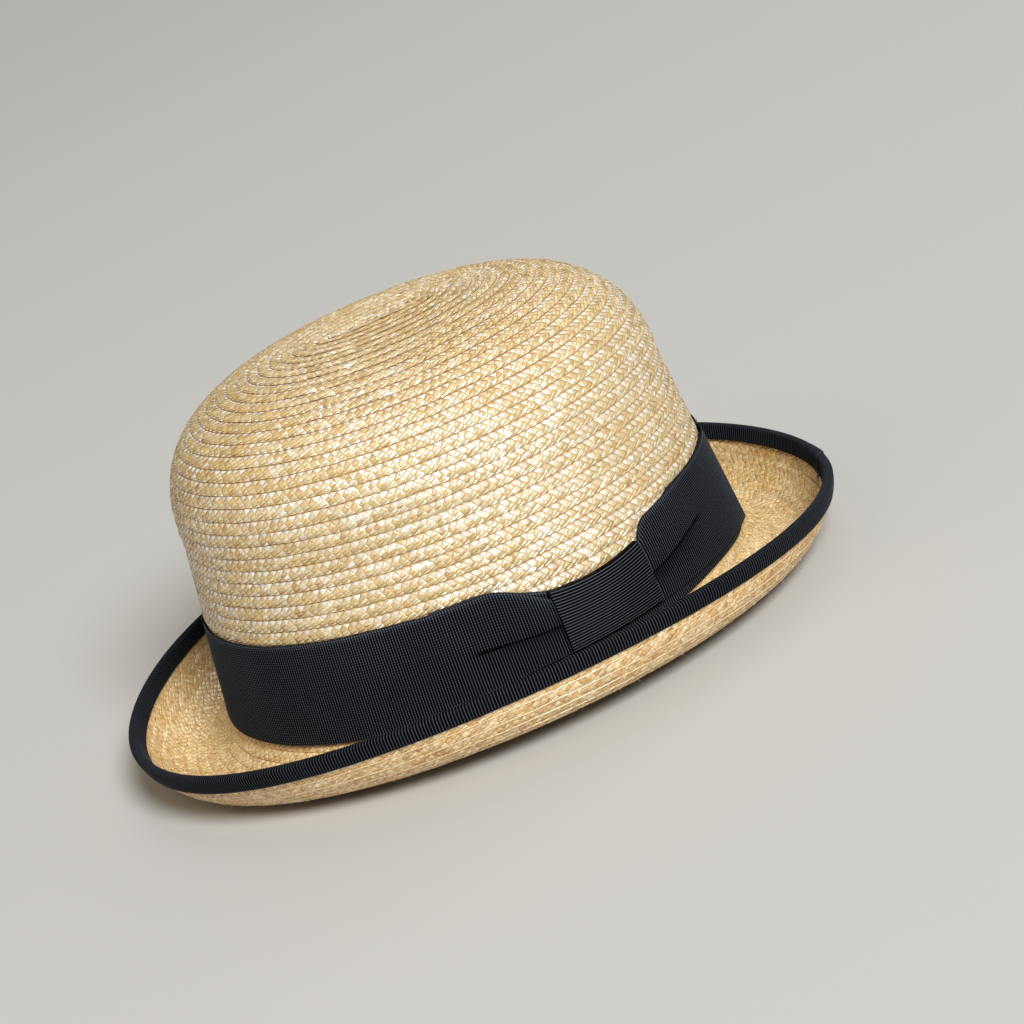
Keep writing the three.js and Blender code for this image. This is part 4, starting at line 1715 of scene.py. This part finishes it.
@dataclass
class Bow:
    """The band, the underlay and the knot round the crown. Sizes are in millimetres, angles in degrees."""

    form: HatForm
    ribbon: float = 0.7
    solid_ribbon: float = 1.0
    gap: float = 0.3
    ribbing: Ribbing = Ribbing(pitch=1.0, height=0.36)
    length_steps: int = 721
    angle_steps: int = 1441
    angle_lift: float = 0.5

    band_height: float = 38.0
    band_foot: float = 0.5
    band_start: float = 1.5
    band_lift: float = 0.2
    band_wobble: float = 0.12
    band_waves: tuple[float, ...] = (31.0, 83.0)
    band_seed: int = 5
    front: PinchedEnd = PinchedEnd(
        top_drop=11.2, top_run=12.0, top_power=1.5, ease=0.0, ease_run=12.0, foot_lift=6.0, foot_run=24.0,
        pleat_at=18.0, pleat_rise=1.6, pleat_run=18.0, pleat_depth=0.7, pleat_lip=0.9, pleat_painted_shade=0.2,
    )
    back: PinchedEnd = PinchedEnd(
        top_drop=7.6, top_run=5.0, top_power=2.0, ease=3.6, ease_run=22.0, foot_lift=5.4, foot_run=46.0,
        pleat_at=17.0, pleat_rise=5.0, pleat_run=22.0, pleat_depth=0.4, pleat_lip=0.2, pleat_painted_shade=0.25,
    )
    foot_power: float = 3.0
    foot_tuck: float = 1.6
    foot_ribs: float = 0.35
    ease_power: float = 1.2
    puff: float = 0.9
    puff_run: float = 20.0
    puff_start: float = 1.5
    lower_puff: float = 0.8
    lower_puff_top: float = 0.9
    upper_puff: Range = (0.15, 0.8)
    pleat_gap: float = 0.03
    pleat_painted_shade_power: float = 3.0
    lip_depth: float = 0.75
    lower_stops: tuple[float, ...] = (0.0, 0.05, 0.1, 0.3, 0.5, 0.7, 0.9, 1.0)
    upper_stops: tuple[float, ...] = (0.0, 0.04, 0.2, 0.4, 0.6, 0.8, 0.92)
    selvage: float = 1.1
    selvage_ribs: float = 0.5
    selvage_lines: tuple[SelvageLine, ...] = (
        SelvageLine(inset=1.0, depth=0.3, dip=0.1),
        SelvageLine(inset=0.8, depth=0.3, dip=0.0),
        SelvageLine(inset=0.0, depth=0.2, dip=0.0),
    )
    back_stops: tuple[float, ...] = (1.0, 0.6, 0.3, 0.0)
    thread: Fibre = Fibre(radius=0.14, sag=0.2, strip=0.9955, strip_width=0.004)
    thread_angles: tuple[float, ...] = (78.0, 77.0, 361.5, 360.5, 352.0)
    thread_tips: tuple[Point, ...] = (
        (0.2, 0.4, 2.4), (0.3, -0.6, 1.6), (0.6, 1.6, 1.9), (0.5, -0.4, 1.5), (0.4, -1.2, 1.2),
    )
    thread_inset: float = 0.3
    thread_lift: float = 1.2
    thread_tone: float = 0.5

    under_front: UnderlayEnd = UnderlayEnd(
        reach=24.0, top_drop=8.4, top_run=14.0, top_tuck=0.0, foot_lift=1.0, foot_run=24.0
    )
    under_back: UnderlayEnd = UnderlayEnd(
        reach=46.0, top_drop=9.5, top_run=16.0, top_tuck=1.0, foot_lift=1.4, foot_run=36.0
    )
    under_power: float = 1.1
    under_ramp: float = 8.0
    under_tuck: float = 3.0
    under_tuck_run: float = 4.0
    under_stops: tuple[float, ...] = (0.0, 0.04, 0.3, 0.6, 0.95, 0.96, 1.0)
    under_edges: tuple[float, ...] = (0.0, 0.96, 1.0)
    under_edge_ribs: float = 0.4
    under_back_stops: tuple[float, ...] = (1.0, 0.5, 0.0)

    knot_angle: float = 14.5
    knot_half: float = 11.0
    knot_top: float = 28.3
    knot_flare: float = 1.7
    knot_foot: float = 6.8
    knot_columns: int = 41
    knot_crowning: float = 0.5
    knot_bulge: float = 0.25
    knot_room: float = 0.6
    knot_turn: float = 0.7
    knot_turn_power: float = 6.0
    knot_hem: float = 0.7
    knot_hem_depth: float = 0.6
    knot_edge_painted_shade: float = 0.5
    knot_back_painted_shade: float = 0.9

    def from_knot(self, degrees: Array) -> tuple[Array, Array]:
        """Which side of the knot an angle lies on, and how far from the knot's edge.

        Args:
            degrees: Angles from the wearer's left towards the back.

        Returns:
            True where the back end is, and the distance in degrees.
        """
        turn = (degrees - self.knot_angle + 540.0) % 360.0 - 180.0
        return turn >= 0.0, np.abs(turn) - self.knot_half

    def middle_line(self, degrees: Array, lift: float) -> Array:
        """Distances round the crown at half the band's height."""
        height = np.full_like(degrees, self.band_height / 2)
        return distances(self.form.over_wall(np.radians(degrees), height, lift))

    def length(self, start: float, stop: float) -> float:
        """Length round the crown between two angles."""
        return float(self.middle_line(np.linspace(start, stop, self.length_steps), self.gap)[-1])

    def stretch(self, start: float, stop: float) -> Stretch:
        """Lays out a length of ribbon with its columns at even distances.

        Args:
            start: First angle.
            stop: Last angle.

        Returns:
            The stretch.
        """
        length = self.length(start, stop)
        shares, rib = self.ribbing.columns(length)
        fine = np.linspace(start, stop, self.angle_steps)
        along = self.middle_line(fine, self.angle_lift)
        degrees = np.interp(shares * along[-1], along, fine)
        return Stretch(length, shares, rib, degrees, *self.from_knot(degrees))

    def build_band(self, finish: bpy.types.Material) -> bpy.types.Object:
        """Makes the band with its pinched and pleated ends.

        Args:
            finish: Its material.

        Returns:
            The piece.
        """
        part = self.stretch(self.knot_angle + self.band_start, self.knot_angle + 360.0 - self.band_start)
        held, away, angle = part.held, part.away, part.angle

        def size(name: str) -> Array:
            """Takes one size of the band's two ends."""
            return part.pick(self.back, self.front, name)

        foot_rise = 1.0 - clamp01(held / size("foot_run")) ** self.foot_power
        foot = self.band_foot + size("foot_lift") * foot_rise
        foot = np.where(away < 0.0, self.knot_foot + self.foot_tuck, foot)
        top = self.band_height - size("top_drop") * fading(held, size("top_run"), size("top_power"))
        top = top - size("ease") * fading(held, size("ease_run"), self.ease_power)
        pleat = size("pleat_at") + size("pleat_rise") * smooth(held / size("pleat_run"))
        fold = fading(held, size("pleat_run"), 1.0)
        over = 1.0 - smooth((away - part.pick(self.under_back, self.under_front, "reach")) / self.under_ramp)
        base = self.gap + self.band_lift + (self.solid_ribbon + self.gap) * over
        base = base + self.band_wobble * ripple(part.along, self.band_waves, self.band_seed)
        puff = self.puff * fading(held, self.puff_run, 1.0) * smooth(away / self.puff_start)
        face = base + self.ribbon
        loft = Loft(part.along)

        def line(height: Array, lift: Array, ribs: float, shade: Array | float = 0.0) -> None:
            """Adds one line along the band's face."""
            points = self.form.over_wall(angle, height, lift + self.ribbing.height * (part.rib - 1.0) * ribs)
            loft.add_line(points, clamp01((1.0 - part.rib) * ribs + shade))

        for share in self.lower_stops:
            ribs = self.foot_ribs if share == 0.0 else 1.0
            # Painted shade below the pleat, strongest next to the fold.
            shade = size("pleat_painted_shade") * fold * share**self.pleat_painted_shade_power
            full = puff * math.sin(math.pi * min(share, self.lower_puff_top)) * self.lower_puff
            line(mix(foot, pleat, share), face + full, ribs, shade)
        lip = pleat + self.pleat_gap - size("pleat_lip") * fold
        depth = size("pleat_depth") * fold
        puff_start, puff_share = self.upper_puff
        for share in self.upper_stops:
            rise = depth * (1.0 if share > 0.0 else self.lip_depth)
            full = puff * math.sin(math.pi * (puff_start + puff_share * share))
            line(mix(lip, top - self.selvage, share), face + rise + full, 1.0)
        for edge in self.selvage_lines:
            line(top - self.selvage * edge.inset, face + edge.depth * depth - edge.dip, self.selvage_ribs)
        # Painted shade on the band's back.
        for share in self.back_stops:
            loft.add_line(self.form.over_wall(angle, mix(foot, top, share), base), 1.0)
        skin = Skin()
        loft.add_to(skin, False)
        self.add_threads(skin, angle, top)
        piece = seat(skin.build("band_ribbon", finish), Node.BAND)
        return piece

    def add_threads(self, skin: Skin, angle: Array, top: Array) -> None:
        """Adds the loose threads along the band's upper edge.

        Args:
            skin: Takes the points and faces.
            angle: Angles of the band's columns, in radians.
            top: Height of the upper edge at each.
        """
        places = np.radians(self.thread_angles)
        height = np.interp(places, angle, top) - self.thread_inset
        roots = self.form.over_wall(places, height, self.thread_lift)
        self.thread.add_to(skin, roots, roots + np.array(self.thread_tips), self.thread_tone)

    def build_underlay(self, finish: bpy.types.Material) -> bpy.types.Object:
        """Makes the short length of ribbon under the pinched ends.

        Args:
            finish: Its material.

        Returns:
            The piece.
        """
        start = self.knot_angle - self.knot_half - self.under_front.reach
        stop = self.knot_angle + self.knot_half + self.under_back.reach
        part = self.stretch(start, stop)
        held, angle = part.held, part.angle

        def size(name: str) -> Array:
            """Takes one size of the underlay's two ends."""
            return part.pick(self.under_back, self.under_front, name)

        foot = self.band_foot + size("foot_lift") * np.sin(math.pi * clamp01(held / size("foot_run")))
        drop = size("top_drop") * fading(held, size("top_run"), self.under_power)
        top = self.band_height - size("top_tuck") - drop
        top = top - self.under_tuck * smooth(-part.away / self.under_tuck_run)
        loft = Loft(part.along)
        for share in self.under_stops:
            ribs = self.under_edge_ribs if share in self.under_edges else 1.0
            lift = self.gap + self.ribbon + self.ribbing.height * (part.rib - 1.0) * ribs
            loft.add_line(self.form.over_wall(angle, mix(foot, top, share), lift), (1.0 - part.rib) * ribs)
        # Painted shade on the underlay's back.
        for share in self.under_back_stops:
            loft.add_line(self.form.over_wall(angle, mix(foot, top, share), self.gap), 1.0)
        skin = Skin()
        loft.add_to(skin, False)
        piece = seat(skin.build("underlay_ribbon", finish), Node.UNDERLAY)
        flat = (self.band_height * MM, round(part.length) * MM)
        return piece

    def build_knot(self, finish: bpy.types.Material) -> bpy.types.Object:
        """Makes the ribbon that wraps the pinched ends, with its ribs level.

        Args:
            finish: Its material.

        Returns:
            The piece.
        """
        shares = np.linspace(0.0, 1.0, self.knot_columns)
        degrees = self.knot_angle + self.knot_half * (2.0 * shares - 1.0)
        top = self.knot_top + self.knot_flare * ((degrees - self.knot_angle) / self.knot_half) ** 2
        foot = np.full_like(top, self.knot_foot)
        under = self.gap * 2 + self.solid_ribbon
        face = under + self.solid_ribbon + self.knot_room + 2 * self.gap + self.ribbon
        loft = Loft(shares * self.length(degrees[0], degrees[-1]), level_ribs=True)

        def line(height: Array, lift: Array | float, hollow: float) -> None:
            """Adds one line along the knot."""
            loft.add_line(self.form.over_wall(np.radians(degrees), height, lift), hollow)

        # Painted shade on the knot's turned edges and inside.
        line(foot, under, self.knot_back_painted_shade)
        line(foot, face - self.knot_turn, self.knot_edge_painted_shade)
        bulge = self.knot_bulge * np.sin(math.pi * shares)
        for step, crest in zip(*self.ribbing.columns(self.knot_top - self.knot_foot)):
            turned = self.knot_turn * abs(2.0 * step - 1.0) ** self.knot_turn_power
            lift = face + self.knot_crowning * math.sin(math.pi * step) + bulge - turned
            line(mix(foot, top, step), lift + self.ribbing.height * (crest - 1.0), 1.0 - crest)
        line(top, face - self.knot_turn, self.knot_edge_painted_shade)
        back = face - self.ribbon
        inside = (
            (top, under),
            (top - self.knot_hem, under),
            (top - self.knot_hem, back - self.knot_hem_depth),
            (mix(foot, top, 0.5), back),
            (foot + self.knot_hem, back - self.knot_hem_depth),
            (foot + self.knot_hem, under),
        )
        for height, lift in inside:
            line(height, lift, self.knot_back_painted_shade)
        skin = Skin()
        loft.add_to(skin, False)
        piece = seat(skin.build("knot_ribbon", finish), Node.KNOT)
        return piece


@dataclass(frozen=True)
class CutPoint:
    """One line of the binding's face in its cut: where it lies, and which way it looks."""

    beyond: float = 0.0
    lift: float = 0.0
    ahead: float = 0.0
    look_ahead: float = 0.0
    look_up: float = 0.0


@dataclass
class Binding:
    """The ribbon folded over the brim's edge. Sizes are in millimetres, angles in degrees."""

    form: HatForm
    ribbon: float = 0.7
    gap: float = 0.3
    reach: float = 5.6
    swell: float = 0.15
    ribbing: Ribbing = Ribbing(pitch=1.1, height=0.36)
    angle_steps: int = 1441
    face_steps: int = 4
    rim_steps: int = 7
    hem_ribs: float = 0.5
    lap_angle: float = 82.0
    lap_slant: float = -8.0
    lap_run: float = 7.0
    lap_rise: float = 0.5
    fray: Fibre = Fibre(radius=0.14, sag=0.4, strip=0.9955, strip_width=0.004)
    frays: int = 9
    fray_seed: int = 61
    fray_tone: float = 0.5
    fray_inset: Range = (0.55, 1.05)
    fray_start: Range = (-0.2, 0.8)
    fray_turn: Range = (-2.2, -0.6)
    fray_run: Range = (-0.6, 2.6)
    fray_lift: float = 0.5
    fray_rise: Range = (-0.3, 0.9)

    @property
    def inside(self) -> float:
        """Distance of the ribbon's back from the brim's middle line."""
        return self.form.wall / 2 + self.gap

    @property
    def outside(self) -> float:
        """Distance of the ribbon's face from the brim's middle line."""
        return self.inside + self.ribbon

    @property
    def edge(self) -> float:
        """Distance that the ribbon stands out past the brim's edge."""
        return self.ribbon + self.gap

    def spots(
        self, angle: Array, beyond: Array | float, lift: Array | float, ahead: Array | float = 0.0
    ) -> Array:
        """Points beside the brim's middle line.

        Args:
            angle: Radians from the wearer's left towards the back.
            beyond: Distance past the brim's edge, so less than 0 on the brim.
            lift: Distance above the middle line.
            ahead: Distance further along the line's own direction.

        Returns:
            Points in millimetres, with the axes last.
        """
        run = np.zeros_like(angle) + (self.form.end.width - self.edge + beyond)
        out, height = self.form.brim_spot(angle, run, lift, ahead)
        return self.form.oval(angle, out, height)

    def cut(self) -> list[CutPoint]:
        """The ribbon's face in its cut.

        Returns:
            Its lines, from the lower hem round the edge to the upper hem.
        """
        points: list[CutPoint] = []
        faces = [step / self.face_steps for step in range(self.face_steps + 1)]
        for share in faces:
            full = self.outside + self.swell * math.sin(math.pi * share)
            points.append(CutPoint(beyond=-self.reach * (1.0 - share), lift=-full, look_up=-1.0))
        for step in range(1, self.rim_steps):
            turn = math.pi * (step / self.rim_steps - 0.5)
            cos, sin = math.cos(turn), math.sin(turn)
            points.append(
                CutPoint(lift=self.outside * sin, ahead=self.edge * cos, look_ahead=cos, look_up=sin)
            )
        for share in faces:
            full = self.outside + self.swell * math.sin(math.pi * share)
            points.append(CutPoint(beyond=-self.reach * share, lift=full, look_up=1.0))
        return points

    def build(self, finish: bpy.types.Material) -> bpy.types.Object:
        """Makes the binding.

        Args:
            finish: Its material.

        Returns:
            The piece.
        """
        fine = np.linspace(0.0, TURN, self.angle_steps)
        along = distances(self.spots(fine, 0.0, 0.0))
        shares, rib = (values[:-1] for values in self.ribbing.columns(along[-1]))
        angle = np.interp(shares * along[-1], along, fine)
        loft = Loft(shares * along[-1])
        cut = self.cut()
        last = len(cut) - 1
        for index, point in enumerate(cut):
            ribs = self.hem_ribs if index in (0, last) else 1.0
            lap = np.degrees(angle) - self.lap_angle - self.lap_slant * (index / last - 0.5)
            lap = lap / self.lap_run
            rise = self.lap_rise * np.where((lap > 0.0) & (lap < 1.0), 1.0 - lap, 0.0)
            grow = rise + self.ribbing.height * (rib - 1.0) * ribs
            lift, ahead = point.lift + point.look_up * grow, point.ahead + point.look_ahead * grow
            loft.add_line(self.spots(angle, point.beyond, lift, ahead), (1.0 - rib) * ribs)
        # Painted shade on the binding's back.
        for lift, places in ((self.inside, (-self.reach, 0.0)), (-self.inside, (0.0, -self.reach))):
            for beyond in places:
                loft.add_line(self.spots(angle, beyond, lift), 1.0)
        skin = Skin()
        loft.add_to(skin, True)
        self.add_frays(skin)
        piece = seat(skin.build("binding_ribbon", finish), Node.BINDING)
        return piece

    def add_frays(self, skin: Skin) -> None:
        """Adds the loose threads at the cut end of the lap.

        Args:
            skin: Takes the points and faces.
        """
        rng = np.random.default_rng(self.fray_seed)
        inset = self.reach * rng.uniform(*self.fray_inset, self.frays)
        first = self.lap_angle + self.lap_slant / 2 + rng.uniform(*self.fray_start, self.frays)
        turn = rng.uniform(*self.fray_turn, self.frays)
        ends: list[Array] = []
        for share in (0.0, 1.0):
            beyond = -inset - share * rng.uniform(*self.fray_run, self.frays)
            lift = self.outside + self.fray_lift + share * rng.uniform(*self.fray_rise, self.frays)
            ends.append(self.spots(np.radians(first + share * turn), beyond, lift))
        self.fray.add_to(skin, *ends, self.fray_tone)


@dataclass(frozen=True)
class Softbox:
    """One large soft light, aimed at the hat. Sizes are in metres, angles in degrees."""

    name: str
    azimuth: float
    elevation: float
    distance: float
    size: float
    watts: float
    colour: Colour

    def build(self, target: Vector) -> bpy.types.Object:
        """Makes the light.

        Args:
            target: What it is aimed at.

        Returns:
            The light.
        """
        back = direction(self.azimuth, self.elevation)
        data = bpy.data.lights.new(self.name, "AREA")
        data.shape = "DISK"
        data.size = self.size
        data.energy = self.watts
        data.color = self.colour
        light = bpy.data.objects.new(self.name, data)
        light.location = target + back * self.distance
        light.rotation_mode = "QUATERNION"
        light.rotation_quaternion = (-back).to_track_quat("-Z", "Y")
        bpy.context.scene.collection.objects.link(light)
        return light


@dataclass
class Studio:
    """The floor, the lights and the camera. Sizes are in metres, angles in degrees."""

    floor_size: float = 12.0
    floor_colour: Colour = (0.56, 0.553, 0.538)
    floor_roughness: float = 0.85
    air_colour: Colour = (0.82, 0.80, 0.77)
    air_strength: float = 0.225
    target: Point = (0.0, 0.0, 0.06)
    camera_azimuth: float = 78.98
    camera_elevation: float = 19.64
    camera_roll: float = 20.70
    camera_distance: float = 1.2
    camera_centre: Point = (0.0, 0.0, 0.05463)
    camera_aim: Point = (0.0068, 0.0211, 0.04714)
    camera_clip: Range = (0.05, 50.0)
    lens: float = 115.65
    sensor: float = 36.0
    lights: tuple[Softbox, ...] = (
        Softbox(
            "key_light", azimuth=99.0, elevation=39.0, distance=8.0, size=3.2, watts=745.0,
            colour=(0.96, 0.985, 1.0),
        ),
        Softbox(
            "fill_light", azimuth=15.0, elevation=45.0, distance=3.0, size=2.0, watts=10.0,
            colour=(1.0, 0.78, 0.44),
        ),
        Softbox(
            "back_light", azimuth=230.0, elevation=55.0, distance=5.0, size=3.4, watts=46.0,
            colour=(1.0, 0.93, 0.8),
        ),
    )

    def build(self) -> None:
        """Makes the whole studio."""
        bpy.context.scene.view_settings.view_transform = "Standard"
        self.build_floor()
        self.build_air()
        for light in self.lights:
            light.build(Vector(self.target))
        self.build_camera()

    def build_floor(self) -> bpy.types.Object:
        """Makes the plain pale floor.

        Returns:
            The floor.
        """
        half = self.floor_size / 2
        mesh = bpy.data.meshes.new("floor")
        corners = [(-half, -half, 0), (half, -half, 0), (half, half, 0), (-half, half, 0)]
        mesh.from_pydata(corners, [], [(0, 1, 2, 3)])
        material = bpy.data.materials.new("pale_floor")
        material.use_nodes = True
        shader = material.node_tree.nodes["Principled BSDF"]
        shader.inputs["Base Color"].default_value = (*self.floor_colour, 1.0)
        shader.inputs["Roughness"].default_value = self.floor_roughness
        mesh.materials.append(material)
        floor = bpy.data.objects.new("floor", mesh)
        bpy.context.scene.collection.objects.link(floor)
        return floor

    def build_air(self) -> None:
        """Lights the room evenly."""
        world = bpy.data.worlds.new("studio_air")
        world.use_nodes = True
        air = world.node_tree.nodes["Background"]
        air.inputs["Color"].default_value = (*self.air_colour, 1.0)
        air.inputs["Strength"].default_value = self.air_strength
        bpy.context.scene.world = world

    def build_camera(self) -> bpy.types.Object:
        """Makes the camera at the photo's viewing angle, rolled so that the upright hat looks tipped.

        Returns:
            The camera.
        """
        data = bpy.data.cameras.new("camera")
        data.lens = self.lens
        data.sensor_width = self.sensor
        data.clip_start, data.clip_end = self.camera_clip
        camera = bpy.data.objects.new("camera", data)
        back = direction(self.camera_azimuth, self.camera_elevation)
        camera.location = Vector(self.camera_centre) + back * self.camera_distance
        aim = Vector(self.camera_aim) - camera.location
        camera.rotation_mode = "QUATERNION"
        roll = Quaternion((0.0, 0.0, 1.0), -math.radians(self.camera_roll))
        camera.rotation_quaternion = aim.to_track_quat("-Z", "Y") @ roll
        bpy.context.scene.collection.objects.link(camera)
        bpy.context.scene.camera = camera
        return camera


def write_sizes() -> None:
    """Updates the view layer.
    """
    bpy.context.view_layer.update()


def main() -> None:
    """Builds the studio and the hat, piece by piece."""
    logging.basicConfig(level=logging.INFO, format="%(name)s: %(message)s")
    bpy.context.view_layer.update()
    Studio().build()
    form = HatForm()
    straw_effect = StrawEffect.build()
    ribbon_effect = RibbonEffect.build()
    straw = Straw(form)
    straw.build_crown(CROWN_STRAW.build(straw_effect))
    straw.build_brim(BRIM_STRAW.build(straw_effect))
    Binding(form).build(BINDING_GROSGRAIN.build(ribbon_effect))
    bow = Bow(form)
    band_finish = BAND_GROSGRAIN.build(ribbon_effect)
    bow.build_band(band_finish)
    bow.build_underlay(band_finish)
    bow.build_knot(KNOT_GROSGRAIN.build(ribbon_effect))
    write_sizes()


if __name__ == "__main__":
    main()
